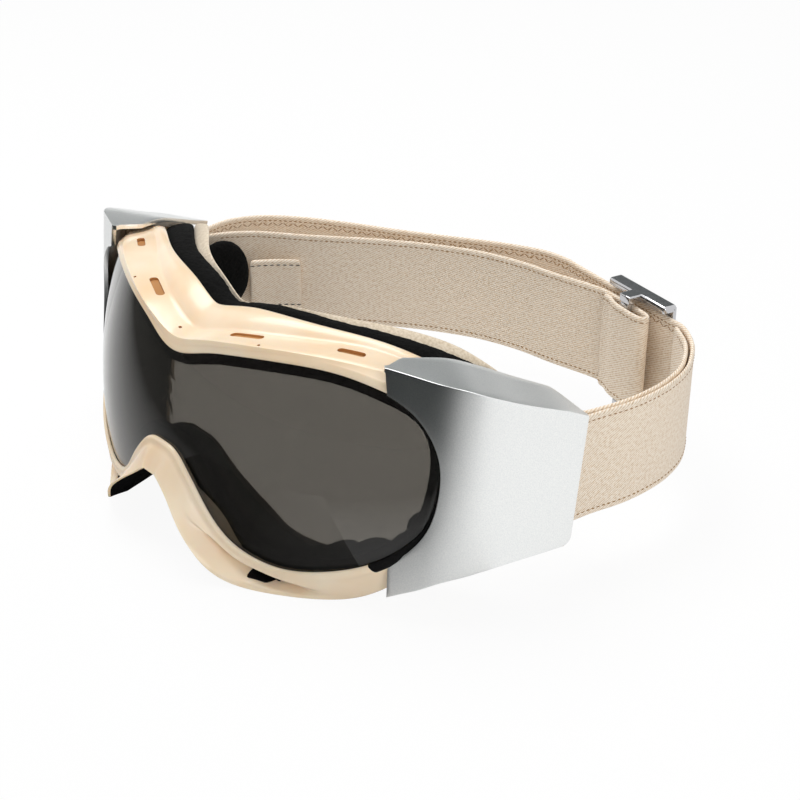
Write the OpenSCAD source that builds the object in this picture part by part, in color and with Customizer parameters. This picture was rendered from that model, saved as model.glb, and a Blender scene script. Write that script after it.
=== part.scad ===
// Protective sports goggles: moulded frame, double curved lens, face foam, two metal side
// plates and a woven head strap with a sliding metal adjuster.
// Millimetres. X runs across the face, Y from the lens back to the head, Z up.
// The wearer's left side is +X.

/* [Lens] */
// Width of the lens opening in the frame
lens_w = 182; // [174:1:190]
// Rise of the brow line above its dip in the middle
brow_rise = 9.8; // [7:0.2:12]
// Depth of the lens opening below the dip in the brow
lens_drop = 59.8; // [56:0.2:64]
// Height from the brow dip down to the top of the nose arch
nose_top = 31; // [27:0.5:35]
// Width between the feet of the nose arch in the lens opening
nose_w = 52; // [46:1:58]
// Radius of the lens across the face
lens_r = 130.5; // [122:0.5:150]
// Radius of the lens from brow to cheek
lens_rv = 152; // [130:1:200]
// Height of the lens's most forward line below the brow dip
lens_belly = 37; // [32:1:42]
// Lean of the lens, frame and plates, top backward
lean = 4.6; // [3:0.1:6]
// Thickness of the outer lens
lens_t = 1.8; // [1.4:0.1:2.2]
// Thickness of the inner lens
inner_t = 1.2; // [0.8:0.1:1.6]
// Height of the foam spacer between the two lenses
spacer_t = 3; // [2:0.1:4]
// Width of the foam spacer inside the opening
spacer_w = 4; // [2.5:0.5:6]
// How far the lens edge reaches into the frame's groove
lens_bite = 1.1; // [0.8:0.1:1.2]

/* [Frame] */
// Play between the lens edge and its groove
lens_play = 0.15; // [0.1:0.05:0.25]
// Forward height of the rounded lip round the lens
lip_h = 1.6; // [1.4:0.1:2]
// Depth of the ledge that holds the lenses from behind
ledge_t = 1.6; // [1.2:0.1:2.5]
// Width of the frame's rear land that carries the foam
land_w = 8; // [6:0.5:10]
// Depth of the frame behind the lens at the middle of the brow
brow_d = 13; // [11:0.5:15]
// How far the nose hood stands forward of the lens
hood_d = 6; // [4:0.5:8]
// Depth of the air scoops low on the frame
scoop_d = 4.5; // [2:0.5:6]
// Height of the frame's flat underside below the brow dip
frame_drop = 69.5; // [67:0.5:70]
// Length of the long slots in the brow
slot_l = 11; // [6:0.5:14]
// Width of the slots in the brow
slot_w = 3; // [2:0.2:4]
// Depth of the slots in the brow
slot_d = 3; // [1.5:0.5:4]

// Length of the oval air vents in the scoops
vent_l = 12; // [8:0.5:14]
// Height of the oval air vents
vent_h = 4.4; // [3:0.2:5]

/* [Foam] */
// Depth of the face foam at the middle of the brow
foam_d = 6; // [4:0.5:9]
// How much deeper the face foam is at the temples
foam_side = 9; // [6:0.5:11]
// Thickness of the fabric lining on the foam
lining_t = 1.2; // [0.6:0.1:2]
// Height of a temple pad
pad_h = 30; // [24:1:34]
// Length of a temple pad
pad_l = 26; // [20:1:30]
// Thickness of a temple pad
pad_t = 9; // [6:0.5:11]
// Height of the fabric tab behind a temple pad
tab_h = 22; // [16:1:28]
// Length of the fabric tab
tab_l = 15; // [10:1:20]

/* [Side plates] */
// Thickness of the metal side plates
plate_t = 1.6; // [1.2:0.1:2]
// Length of a plate along its chord
plate_l = 65; // [60:1:68]
// Height of the plate's front top corner above the brow dip
plate_front_top = 17; // [16:0.5:19]
// Height of the plate's rear top corner
plate_rear_top = -1.5; // [-3:0.5:0]
// Height of the plate's rear bottom corner above the strap's bottom edge
plate_rear_rise = 3.3; // [2:0.1:5]
// Height of the plate's front bottom corner
plate_front_low = -61.7; // [-64:0.5:-58]
// Extra lean of the plates on the frame
plate_lean = 1.5; // [0:0.5:2]
// Radius of the plate's rear bottom corner
plate_corner = 3; // [1:0.5:5]
// Thickness of the inner arm that carries the strap pin
arm_t = 2.2; // [1.8:0.1:2.4]
// Diameter of the two pegs that hold a plate on its arm
peg_d = 4; // [3:0.2:5]
// Clearance round a peg
peg_play = 0.05; // [0.03:0.01:0.1]
// Gap between a plate and its arm
arm_gap = 0.1; // [0.05:0.05:0.2]

// Distance of the plate's front corner inside the side of the lens opening
plate_in = 16.7; // [15:0.1:18]
// Distance of the plate's front corner behind the brow
plate_y = 23.2; // [22:0.1:24]
// Angle of the plate's chord from straight across
plate_turn = 58.4; // [56:0.2:60]
// Bulge of the plate outside its chord
plate_bulge = 12.6; // [11:0.2:14]
// Reach of the plate's top flange inside its chord at the rear
flange_w = 9.4; // [6:0.2:12]
// Share of that reach at the flange's front corner
flange_front = 0.87; // [0.4:0.01:0.9]

/* [Strap] */
// Width of the woven strap
strap_w = 38; // [34:1:40]
// Thickness of the woven strap
strap_t = 1.6; // [1.2:0.1:1.8]
// Height of the strap's top edge
strap_top = -12; // [-13:0.5:-11]
// Diameter of the strap pins
pin_d = 3.2; // [2.6:0.1:4]
// Distance of a strap pin inside the rear end of a plate's chord
pin_in = 9.36; // [8.5:0.02:10]
// Distance of a strap pin in front of the rear end of a plate's chord
pin_fore = 6.56; // [6:0.02:7.5]
// Clearance between a pin and its bore
pin_play = 0.05; // [0.03:0.01:0.1]

/* [Slider] */
// Length of the adjuster along the strap
slider_l = 32; // [28:1:36]
// Height of the top and bottom rails
rail_h = 3.2; // [2.4:0.2:4]
// Depth of the rails through the strap
rail_d = 6; // [5:0.2:8]
// Width of the end posts
post_w = 4; // [3:0.2:5]
// Thickness of the end posts
post_t = 2; // [1.6:0.1:2.6]
// Width of the middle bar
bar_w = 4.4; // [3:0.2:6]
// Thickness of the middle bar
bar_t = 2.4; // [2:0.1:3]
// Free height above and below the strap in the adjuster
slider_play = 0.8; // [0.5:0.1:1.5]

/* [Hidden] */
$fn = 48;

// The origin sits under the middle of the whole object
front_y = -16.33;
back_y = 170.64;
home = [0, -(front_y + back_y) / 2, frame_drop];

hw = lens_w / 2;
nw = nose_w / 2;
plate_x = hw - plate_in;
plate_rear_low = strap_top - strap_w + plate_rear_rise;
pin_x = plate_x + plate_l * cos(plate_turn) - pin_in;
pin_y = plate_y + plate_l * sin(plate_turn) - pin_fore;
stack = lens_t + spacer_t + inner_t + 0.1;
steps = 3;
N = 16;

// Smooth curve through four values
function cr(a, b, c, d, t) = 0.5 * (2 * b + (c - a) * t + (2 * a - 5 * b + 4 * c - d) * t * t
    + (3 * b - a - 3 * c + d) * t * t * t);
function crd(a, b, c, d, t) = 0.5 * ((c - a) + 2 * (2 * a - 5 * b + 4 * c - d) * t
    + 3 * (3 * b - a - 3 * c + d) * t * t);
function lerp(a, b, t) = a + (b - a) * t;
function clamp(x) = min(1, max(0, x));
function smooth(x) = clamp(x) * clamp(x) * (3 - 2 * clamp(x));

// Height at a share of the way from the nose arch down to the cheek
function cheek(f) = -(nose_top + f * (lens_drop - nose_top));

// Control points of half the lens opening, from the brow dip round to the nose arch
rim = [[0, 0], [0.21 * hw, 0.53 * brow_rise], [0.44 * hw, 0.89 * brow_rise],
    [0.64 * hw, brow_rise], [0.8 * hw, 0.7 * brow_rise], [0.92 * hw, 0.14 * brow_rise],
    [0.985 * hw, -0.14 * lens_drop], [hw, -0.375 * lens_drop], [0.973 * hw, -0.6 * lens_drop],
    [0.868 * hw, -0.8 * lens_drop], [0.725 * hw, -0.925 * lens_drop], [0.55 * hw, -lens_drop],
    [0.395 * hw, -0.973 * lens_drop], [nw, cheek(0.74)], [0.62 * nw, cheek(0.33)],
    [0.3 * nw, cheek(0.05)], [0, cheek(0)]];
function rp(i) = i < 0 ? [-rim[-i].x, rim[-i].y] : i > N ? [-rim[2 * N - i].x, rim[2 * N - i].y] : rim[i];
function at_half(u) = let(i = min(N - 1, floor(u)), t = u - i)
    cr(rp(i - 1), rp(i), rp(i + 1), rp(i + 2), t);
function dir_half(u) = let(i = min(N - 1, floor(u)), t = u - i,
    d = crd(rp(i - 1), rp(i), rp(i + 1), rp(i + 2), t)) [-d.y, d.x] / norm(d);
// A station is its share round the half, its point and its outward direction
function station(u) = u <= N ? concat([u], at_half(u), dir_half(u))
    : let(p = at_half(2 * N - u), d = dir_half(2 * N - u)) [2 * N - u, -p.x, p.y, -d.x, d.y];
function stations(k) = [for (j = [0 : 2 * N * k - 1]) station(j / k)];
// A list of seventeen values read smoothly along the half
function kv(K, i) = i < 0 ? K[-i] : i > N ? K[2 * N - i] : K[i];
function at(K, u) = let(i = min(N - 1, floor(u)), t = u - i)
    cr(kv(K, i - 1), kv(K, i), kv(K, i + 1), kv(K, i + 2), t);

// Front face of the lens: a barrel about an upright axis
ring_y = lens_r - (lens_rv - sqrt(lens_rv * lens_rv - lens_belly * lens_belly));
function ring_r(z) = lens_r - (lens_rv - sqrt(lens_rv * lens_rv - pow(z + lens_belly, 2)));
function lens_y(x, z) = ring_y - sqrt(max(1, pow(ring_r(z), 2) - x * x));
// A point at an outward offset o and a depth b behind the lens face
function spot(s, o, b) = let(x = s[1] + o * s[3], z = s[2] + o * s[4]) [x, lens_y(x, z) + b, z];
// A point at an offset o and at a depth b square to the lens face, level with its own height
function seat(s, o, b) = let(x = s[1] + o * s[3], z = s[2] + o * s[4])
    [x, ring_y - sqrt(max(1, pow(ring_r(z) - b, 2) - x * x)), z];
function outline(k, o) = [for (s = stations(k)) [s[1] + o * s[3], s[2] + o * s[4]]];
function outline_at(k, K) = [for (s = stations(k)) let(o = at(K, s[0])) [s[1] + o * s[3], s[2] + o * s[4]]];

// Frame edges along the half: outward offset and depth behind the lens face
brim_o = [5, 4.4, 4, 3.8, 4.2, 4.5, 4.5, 4.5, 4.8, 7, 11, 9.5, 9.5, 5, 8, 11, 12.4];
brim_b = [-1.7, -3, -2, -1.2, 1.5, 1.5, 1.5, 2.2, 3.3, 5.6, 1.8, -3, -8.5, -10.5, -7, -6, -5.6];
ridge_o = [7, 6.4, 5.6, 5.2, 5, 5, 5, 5, 5.2, 7, 10.8, 9.3, 9, 4.5, 7.6, 10.5, 12];
ridge_b = [6, 6.2, 9.5, 12, 11, 9, 8, 8, 8, 9, 8, 4, -1, -3, -1, 0, 0];
rear_o = [10.5, 9.8, 7.5, 5, 4, 4.4, 4.6, 4.6, 4.6, 5.5, 7.2, 6.8, 5.8, 3.5, 6, 7, 7.5];
rear_b = [0, 0.5, 1.5, 4, 5, 4, 3, 3, 3, 3, 2, 1, 0, 0, 0, 0, 0];
lip_k = [1, 1, 1, 1, 0.8, 0.55, 0.5, 0.5, 0.5, 0.65, 1, 1, 1, 1, 1, 1, 1];
function nose_share(u) = smooth((u - 11) / 3);

// Face of the frame between the lip and the brim, with the air scoop pressed in
scoop_v = [0, 0, 0.55, 1, 0.8, 0];
function scoop(u, n) = scoop_d * scoop_v[n] * smooth((u - 10.7) / 0.7) * smooth((13.2 - u) / 0.7);
function face(s, n) = let(u = s[0], v = n / 5, o1 = lens_bite + 1.4, b1 = -lip_h * at(lip_k, u),
        bo = at(brim_o, u), bb = at(brim_b, u) - (hood_d - 6) * nose_share(u))
    spot(s, lerp(o1, bo, v), lerp(b1, bb, pow(v, 0.8)) + scoop(u, n));
function frame_ring(s) = let(u = s[0], lip = lip_h * at(lip_k, u), bo = at(brim_o, u),
        bb = at(brim_b, u) - (hood_d - 6) * nose_share(u), ro = at(ridge_o, u), rb = at(ridge_b, u),
        eo = at(rear_o, u), eb = brow_d + at(rear_b, u), ch = lens_bite + lens_play, back = stack + lens_play)
    [seat(s, ch, -lens_play), seat(s, 0, -lens_play), spot(s, 0, -0.5 * lip - 0.05), spot(s, 0.7, -lip),
    for (n = [0 : 5]) face(s, n),
    spot(s, bo + 0.35, lerp(bb, rb, 0.12)), spot(s, lerp(bo, ro, 0.6) + 0.2, lerp(bb, rb, 0.55)),
    spot(s, ro, rb),
    spot(s, lerp(ro, eo, 0.35), lerp(rb, eb, 0.5)), spot(s, lerp(ro, eo, 0.85), lerp(rb, eb, 0.9)),
    spot(s, eo, eb), spot(s, eo - land_w, eb), seat(s, min(0.6, eo - land_w + 2), back + ledge_t + 1),
    seat(s, 0.6, back), seat(s, ch, back)];

// Middle of the air vent's mouth in the scoop
vent_x = 42.5;
vent_y = 3;
vent_z = -lens_drop - 4.2;

// Closed tube through a list of equal rings
module loop(rings) {
    n = len(rings);
    m = len(rings[0]);
    polyhedron([for (r = rings) each r],
        [for (i = [0 : n - 1], j = [0 : m - 1]) let(a = i * m + j, b = i * m + (j + 1) % m,
            c = ((i + 1) % n) * m + (j + 1) % m, d = ((i + 1) % n) * m + j) each [[a, b, c], [a, c, d]]],
        convexity = 8);
}
// Places a piece of the leaning face assembly, or a level piece, in the object's own frame
module face_place() translate(home) rotate([-lean, 0, 0]) children();
module level_place() translate(home) children();
module sided(left) mirror([left ? 0 : 1, 0, 0]) children();

// Rounded slot cut down into the brow at a place along the half
module brow_slot(x, y, z, turn, l) {
    translate([x, y, z]) rotate([0, 0, turn]) linear_extrude(20) hull() {
        translate([-(l - slot_w) / 2, 0]) circle(slot_w / 2, $fn = 20);
        translate([(l - slot_w) / 2, 0]) circle(slot_w / 2, $fn = 20);
    }
}
// Oval of the lower air vent, slanting in from the scoop behind the lenses
module vent_plug(trim, from, to) translate([vent_x, vent_y, vent_z]) rotate([-88, 0, 0]) rotate([0, 0, 8])
    translate([0, 0, from]) linear_extrude(to - from) union() {
        square([vent_l - vent_h, vent_h - 2 * trim], center = true);
        for (k = [-1, 1]) translate([k * (vent_l - vent_h) / 2, 0]) circle(vent_h / 2 - trim, $fn = 24);
    }
module frame() color([0.95, 0.86, 0.72]) difference() {
    face_place() difference() {
        loop([for (s = stations(steps)) frame_ring(s)]);
        for (k = [-1, 1]) scale([k, 1, 1]) {
            brow_slot(27, 9.5, 11.2 - slot_d, 14, slot_l);
            brow_slot(52, 21, 13.2 - slot_d, 30, slot_w * 2);
            vent_plug(0, -8, 10);
        }
    }
    translate([-150, -200, -20]) cube([300, 400, 20]);
}

// Slice of the lens barrel between two depths
module barrel(b0, b1) {
    m = 14;
    z0 = -lens_drop - 14;
    z1 = brow_rise + 14;
    translate([0, ring_y, 0]) rotate([0, 0, -150]) rotate_extrude(angle = 120, $fn = 180)
        polygon(concat([for (i = [0 : m]) let(z = lerp(z0, z1, i / m)) [ring_r(z) - b1, z]],
            [for (i = [m : -1 : 0]) let(z = lerp(z0, z1, i / m)) [ring_r(z) - b0, z]]));
}
module opening(o, k = 3) translate([0, 80, 0]) rotate([90, 0, 0]) linear_extrude(120) polygon(outline(k, o));
module lens_outer() color([0.2, 0.2, 0.2, 0.7]) face_place() intersection() {
    barrel(0, lens_t);
    opening(lens_bite);
}
module lens_inner() color([0.3, 0.3, 0.3, 0.5]) face_place() intersection() {
    barrel(stack - inner_t, stack);
    opening(lens_bite);
}
module lens_spacer() color([0.08, 0.08, 0.08]) face_place() intersection() {
    barrel(lens_t + 0.05, lens_t + 0.05 + spacer_t);
    difference() {
        opening(lens_bite);
        opening(-spacer_w);
    }
}

// Face foam: seated on the frame's rear land, with a soft crown toward the face
foam_k = [0, 0.3, 0.43, 0.7, 0.9, 1, 1, 1, 0.9, 0.7, 0.5, 0.35, 0.2, 0.1, 0, 0, 0];
function foam_ring(s) = let(u = s[0], o = at(rear_o, u), b = brow_d + at(rear_b, u) + 0.2,
        d = foam_d + foam_side * at(foam_k, u), w = land_w - 0.6, o1 = o - 0.3, o0 = o1 - w)
    [spot(s, o1, b), spot(s, o1 + 0.4, b + 0.45 * d), spot(s, o1 - 0.5, b + 0.85 * d),
    spot(s, o1 - 0.28 * w, b + d), spot(s, o1 - 0.72 * w, b + d), spot(s, o0 + 0.5, b + 0.85 * d),
    spot(s, o0 - 0.4, b + 0.45 * d), spot(s, o0, b)];
function lining_ring(s) = let(u = s[0], o = at(rear_o, u), b = brow_d + at(rear_b, u) + 0.25,
        d = foam_d + foam_side * at(foam_k, u), w = land_w - 0.6, o1 = o - 0.3)
    [spot(s, o1 - 0.28 * w, b + d), spot(s, o1 - 0.3 * w, b + d + lining_t),
    spot(s, o1 - 0.7 * w, b + d + lining_t), spot(s, o1 - 0.72 * w, b + d)];
module face_foam() color([0.06, 0.06, 0.06]) face_place() loop([for (s = stations(2)) foam_ring(s)]);
module foam_lining() color([0.86, 0.78, 0.68]) face_place() loop([for (s = stations(2)) lining_ring(s)]);

// Side plate outline in plan, as shares of the chord and the bulge
plan_k = [[0, 0], [0.114, 0.44], [0.25, 0.9], [0.394, 1], [0.535, 0.89], [0.7, 0.635], [0.866, 0.333],
    [1.02, -0.04]];
function pp(i) = let(j = min(7, max(0, i))) [plan_k[j].x * plate_l, -plan_k[j].y * plate_bulge];
function plan(t) = let(i = min(6, floor(t)), f = t - i) cr(pp(i - 1), pp(i), pp(i + 1), pp(i + 2), f);
function plan_in(t) = let(i = min(6, floor(t)), f = t - i,
    d = crd(pp(i - 1), pp(i), pp(i + 1), pp(i + 2), f)) [-d.y, d.x] / norm(d);
// Band that follows the plan between two depths under the plate's face
module plan_band(d0, d1, t0 = 0, t1 = 7) {
    m = 21;
    linear_extrude(140, center = true) polygon(concat(
        [for (i = [0 : m]) let(t = lerp(t0, t1, i / m)) plan(t) + d0 * plan_in(t)],
        [for (i = [m : -1 : 0]) let(t = lerp(t0, t1, i / m)) plan(t) + d1 * plan_in(t)]));
}
// Top and bottom edges of the plate seen from the side
top_k = [[0, 0], [0.1, 0.03], [0.31, 0.15], [0.48, 0.37], [0.66, 0.58], [0.855, 0.79], [1, 1]];
low_k = [[0.086, 0], [0.19, 0.31], [0.3, 0.59], [0.446, 0.76], [0.6, 0.87], [0.815, 0.97], [0.97, 1]];
function edge(K, t, za, zb) = let(i = min(5, floor(t)), f = t - i, a = K[max(0, i - 1)], b = K[i], c = K[i + 1],
    d = K[min(6, i + 2)], q = cr(a, b, c, d, f)) [q.x * plate_l, lerp(za, zb, q.y)];
function top_edge(drop) = [for (i = [0 : 12]) edge(top_k, i / 2, plate_front_top, plate_rear_top) - [0, drop]];
function low_edge() = [for (i = [0 : 11]) edge(low_k, i / 2, plate_front_low, plate_rear_low)];
corner = [0.97 * plate_l + 0.2, plate_rear_low];
function corner_arc() = [for (a = [0 : 22.5 : 90])
    corner + plate_corner * [sin(a) - 1, 1 - cos(a)]];
module plate_side() rotate([90, 0, 0]) linear_extrude(80, center = true)
    polygon(concat(top_edge(0), [for (i = [4 : -1 : 0]) corner_arc()[i]],
        [for (i = [10 : -1 : 0]) low_edge()[i]]));
module flange() intersection() {
    linear_extrude(140, center = true) polygon(concat(
        [for (i = [0 : 20]) plan(i * 0.34) + 0.4 * plan_in(i * 0.34)],
        [[plate_l - 0.4, 1.5], [0.855 * plate_l, flange_w], [0.1 * plate_l, flange_front * flange_w]]));
    rotate([90, 0, 0]) linear_extrude(80, center = true)
        polygon(concat(top_edge(0), [for (i = [12 : -1 : 0]) top_edge(plate_t)[i]]));
}
// Puts a piece drawn on the plate's chord in the leaning face assembly
module on_chord() face_place() rotate([-plate_lean, 0, 0])
    translate([plate_x, plate_y, 0]) rotate([0, 0, plate_turn]) children();
// Offset of the plate's inner rim outside the lens opening
rim_gap = [1, 1, 1, 1, 0.8, 0.5, 0.3, 0.6, 2.9, 4.6, 5.6, 3, 1, 1, 1, 1, 1];
peg_s = 0.62 * plate_l;
peg_z = [-10, -34];
module pegs(r, from, to) for (z = peg_z) translate([peg_s, -plate_bulge * 0.8, z]) rotate([-90, 0, 0])
    translate([0, 0, from]) cylinder(h = to - from, r = r);
module plate() {
    difference() {
        on_chord() union() {
            intersection() {
                plan_band(0, plate_t);
                plate_side();
            }
            flange();
        }
        face_place() translate([0, 60, 0]) rotate([90, 0, 0]) linear_extrude(90)
            polygon(outline_at(3, rim_gap));
    }
    on_chord() pegs(peg_d / 2, 1.4, plate_t + arm_gap + arm_t + 1.4);
}
module side_plate_left() color([0.75, 0.76, 0.77]) plate();
module side_plate_right() color([0.75, 0.76, 0.77]) mirror([1, 0, 0]) plate();

// Lugs at the rear of the arm take the strap pin above and below the strap
lug_t = 1.8;
lug_gap = 0.8;
lug_r = 3.6;
lug_l = 5.5;
lug_z = [strap_top + lug_gap, strap_top - strap_w - lug_gap - lug_t];
side_x = hw + ridge_o[7];
// Foot that seats the arm on the side of the frame
foot_y = plate_y + 23.8;
foot_l = 7;
foot_z = -32;
foot_h = 22;
module arm() difference() {
    union() {
        on_chord() intersection() {
            plan_band(plate_t + arm_gap, plate_t + arm_gap + arm_t, 3.75, 6.7);
            translate([0, -40, 0]) rotate([-90, 0, 0]) linear_extrude(80)
                polygon([[0.45 * plate_l, -6], [0.97 * plate_l, -plate_rear_top + 1.5],
                    [0.97 * plate_l, -plate_rear_low - 0.7], [0.45 * plate_l, -plate_rear_low - 1.5]]);
        }
        intersection() {
            on_chord() plan_band(plate_t + arm_gap, plate_t + arm_gap + 9, 3.6, 6.7);
            face_place() translate([side_x + 0.05, foot_y, foot_z]) cube([12, foot_l, foot_h]);
        }
        level_place() for (z = lug_z) translate([pin_x, pin_y, z]) {
            cylinder(h = lug_t, r = lug_r);
            translate([0, -lug_r, 0]) cube([lug_l, 2 * lug_r, lug_t]);
        }
    }
    on_chord() pegs(peg_d / 2 + peg_play, -4, 12);
    level_place() translate([pin_x, pin_y, strap_top - strap_w - 10])
        cylinder(h = strap_w + 20, r = pin_d / 2 + pin_play);
}
module side_arm_left() color([0.8, 0.68, 0.54]) arm();
module side_arm_right() color([0.8, 0.68, 0.54]) mirror([1, 0, 0]) arm();
module pin() level_place() translate([pin_x, pin_y, lug_z[1] - 0.2])
    cylinder(h = lug_z[0] - lug_z[1] + lug_t + 0.4, r = pin_d / 2);
module strap_pin_left() color([0.7, 0.7, 0.72]) pin();
module strap_pin_right() color([0.7, 0.7, 0.72]) mirror([1, 0, 0]) pin();
module vent_filter_left() color([0.07, 0.07, 0.07]) face_place() vent_plug(0.1, 5, 8);
module vent_filter_right() color([0.07, 0.07, 0.07]) mirror([1, 0, 0]) vent_filter_left();

// Strap route in plan. The loop round a pin keeps a small gap to the pin
loop_r = pin_d / 2 + strap_t / 2 + 0.15;
function pin_loop(side) = [for (a = [180 : 45 : 360])
    [side * (pin_x + loop_r * cos(a)), pin_y + loop_r * sin(a)]];
// The strap was drawn for pins 99 from the middle and 72 behind the brow, and follows them
function by_pin(p) = [p.x * pin_x / 99, p.y + pin_y - 72];
function by_pins(P) = [for (p = P) by_pin(p)];
run_a = by_pin([81, 156.85]);
run_b = by_pin([14, 169.75]);
run_dir = (run_b - run_a) / norm(run_b - run_a);
run_in = [-run_dir.y, run_dir.x];
tail = concat(by_pins([[79, 155], [88, 148.9], [94, 142.4], [100, 132.7], [103.2, 121.6], [104.1, 111],
    [103.5, 100], [101, 88], [98, 79.6]]),
    [[pin_x - loop_r + 0.4, pin_y + 4.6], [pin_x - loop_r, pin_y + 2.1]]);
near = concat([[pin_x + loop_r, pin_y + 2.1], [pin_x + loop_r + 0.3, pin_y + 4.6]],
    by_pins([[102.4, 80], [103.4, 88], [105.8, 100], [106.4, 111], [105.4, 122], [102, 133.5], [95.8, 143.8],
    [89.6, 150.8]]));
far = concat(by_pins([[2, 168.9], [-14, 162], [-32, 151.5], [-50, 141], [-69, 131], [-87, 120], [-99, 109],
    [-104.4, 97], [-103.8, 87], [-102.4, 80]]),
    [[-pin_x - loop_r - 0.3, pin_y + 4.6], [-pin_x - loop_r, pin_y + 2.1]]);
band_route = concat(tail, pin_loop(1), near,
    [run_a, run_a + 7.1 * run_dir, (run_a + run_b) / 2, run_b - 6.1 * run_dir, run_b],
    far, [for (i = [4 : -1 : 0]) pin_loop(-1)[i]]);
function route_pt(R, i) = R[min(len(R) - 1, max(0, i))];
function route(R, t) = let(i = min(len(R) - 2, floor(t)), f = t - i)
    cr(route_pt(R, i - 1), route_pt(R, i), route_pt(R, i + 1), route_pt(R, i + 2), f);
function route_n(R, t) = let(i = min(len(R) - 2, floor(t)), f = t - i,
    d = crd(route_pt(R, i - 1), route_pt(R, i), route_pt(R, i + 1), route_pt(R, i + 2), f))
    [-d.y, d.x] / norm(d);
module ribbon(R, w, t, k) {
    m = (len(R) - 1) * k;
    linear_extrude(w) polygon(concat([for (i = [0 : m]) route(R, i / k) + t / 2 * route_n(R, i / k)],
        [for (i = [m : -1 : 0]) route(R, i / k) - t / 2 * route_n(R, i / k)]));
}
module strap_band() color([0.87, 0.79, 0.69]) level_place() translate([0, 0, strap_top - strap_w])
    ribbon(band_route, strap_w, strap_t, 3);

// The slider sits on the straight run; its own X follows the strap and its Y points to the face
slide_at = run_a + 23.4 * run_dir;
function on_run(u, v) = slide_at + u * run_dir + v * run_in;
bar_y = strap_t * 1.5 + 1.3 + bar_t / 2 + 2;
lay_in = bar_y - bar_t / 2 - strap_t / 2 - 0.15;
lay_out = bar_y + bar_t / 2 + strap_t / 2 + 0.15;
back_lay = by_pins([[-97.0, 79.5], [-93.5, 88.5], [-86, 98], [-73, 108], [-61, 118], [-48, 128.8], [-32, 140],
    [-14, 149.5], [4, 154.5], [20, 156.2]]);
back_route = concat([[-pin_x + loop_r, pin_y + 0.5]], back_lay,
    [on_run(18, lay_in + 0.9), on_run(9, lay_in), on_run(0, lay_in), on_run(-9, lay_in + 0.2),
    on_run(-12, (lay_in + lay_out) / 2), on_run(-9, lay_out), on_run(0, lay_out), on_run(5, lay_out - 0.6),
    on_run(9, lay_in + strap_t + 0.6), on_run(13, lay_in + strap_t + 0.6)]);
module strap_return() color([0.87, 0.79, 0.69]) level_place() translate([0, 0, strap_top - strap_w])
    ribbon(back_route, strap_w, strap_t, 3);

rail_gap = 0.4;
out_y = -strap_t / 2 - rail_gap - post_t;
module on_slider() level_place() translate([slide_at.x, slide_at.y, 0])
    rotate([0, 0, atan2(run_dir.y, run_dir.x)]) children();
module rail(z) translate([0, 0, z]) linear_extrude(rail_h) union() {
    translate([0, out_y + rail_d / 2]) square([slider_l - rail_h, rail_d], center = true);
    translate([0, out_y + rail_d / 2]) square([slider_l, rail_d - rail_h], center = true);
    for (i = [-1, 1], j = [-1, 1])
        translate([i * (slider_l - rail_h) / 2, out_y + rail_d / 2 + j * (rail_d - rail_h) / 2])
        circle(rail_h / 2);
    translate([-bar_w / 2 - 0.6, 0]) square([bar_w + 1.2, bar_y + bar_t / 2]);
}
rail_z = [strap_top + slider_play, strap_top - strap_w - slider_play - rail_h];
module slider_frame() color([0.8, 0.8, 0.82]) on_slider() difference() {
    union() {
        for (z = rail_z) rail(z);
        for (i = [-1, 1]) translate([i * (slider_l - post_w) / 2 - post_w / 2, out_y, rail_z[1] + rail_h / 2])
            cube([post_w, post_t, rail_z[0] - rail_z[1]]);
    }
    translate([0, bar_y, rail_z[1] - 1]) cylinder(h = rail_z[0] - rail_z[1] + rail_h + 2, r = bar_t / 2 - 0.15);
}
module slider_bar() color([0.8, 0.8, 0.82]) on_slider() translate([0, bar_y, 0]) {
    translate([-bar_w / 2, -bar_t / 2, rail_z[1] + rail_h + 0.05])
        cube([bar_w, bar_t, rail_z[0] - rail_z[1] - rail_h - 0.1]);
    translate([0, 0, rail_z[1]]) cylinder(h = rail_z[0] - rail_z[1] + rail_h, r = bar_t / 2 - 0.2);
}

// Temple pads sit behind the foam at each side, with a fabric tab back to the strap
pad_x = pin_x - 14.5;
pad_y = pin_y + 5.2;
pad_z = -24;
module temple_pad_left() color([0.05, 0.05, 0.05]) level_place() translate([pad_x, pad_y, pad_z]) pad_form();
module temple_pad_right() color([0.05, 0.05, 0.05]) mirror([1, 0, 0]) temple_pad_left();
// Cushion with a full crown and drawn-in edge
function pad_ring(a, n) = [for (k = [0 : n - 1]) let(b = 360 * k / n, r = pow(cos(a), 0.7))
    [pad_t / 2 * sign(sin(a)) * pow(abs(sin(a)), 0.9), pad_l / 2 * r * cos(b), pad_h / 2 * r * sin(b)]];
module pad_form() {
    n = 24;
    rows = [-75, -58, -38, -18, 0, 18, 38, 58, 75];
    rings = [for (a = rows) pad_ring(a, n)];
    pts = concat([for (r = rings) each r], [[-pad_t / 2, 0, 0], [pad_t / 2, 0, 0]]);
    m = len(rows);
    polyhedron(pts, concat(
        [for (i = [0 : m - 2], j = [0 : n - 1]) let(a = i * n + j, b = i * n + (j + 1) % n)
            each [[a, b + n, b], [a, a + n, b + n]]],
        [for (j = [0 : n - 1]) [m * n, j, (j + 1) % n]],
        [for (j = [0 : n - 1]) [m * n + 1, (m - 1) * n + (j + 1) % n, (m - 1) * n + j]]), convexity = 2);
}
tab_t = 2;
tab_far = by_pins([[-84, 90.6], [-78.5, 99.2], [-71.2, 106.9]]);
tab_near = by_pins([[86.5, 90.8], [95.5, 96.5], [101.5, 105.6]]);
module pad_tab(route) color([0.87, 0.79, 0.69]) level_place() translate([0, 0, pad_z - tab_h + 2])
    ribbon(route, tab_h, tab_t, 3);
module pad_tab_left() pad_tab(tab_near);
module pad_tab_right() pad_tab(tab_far);

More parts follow.
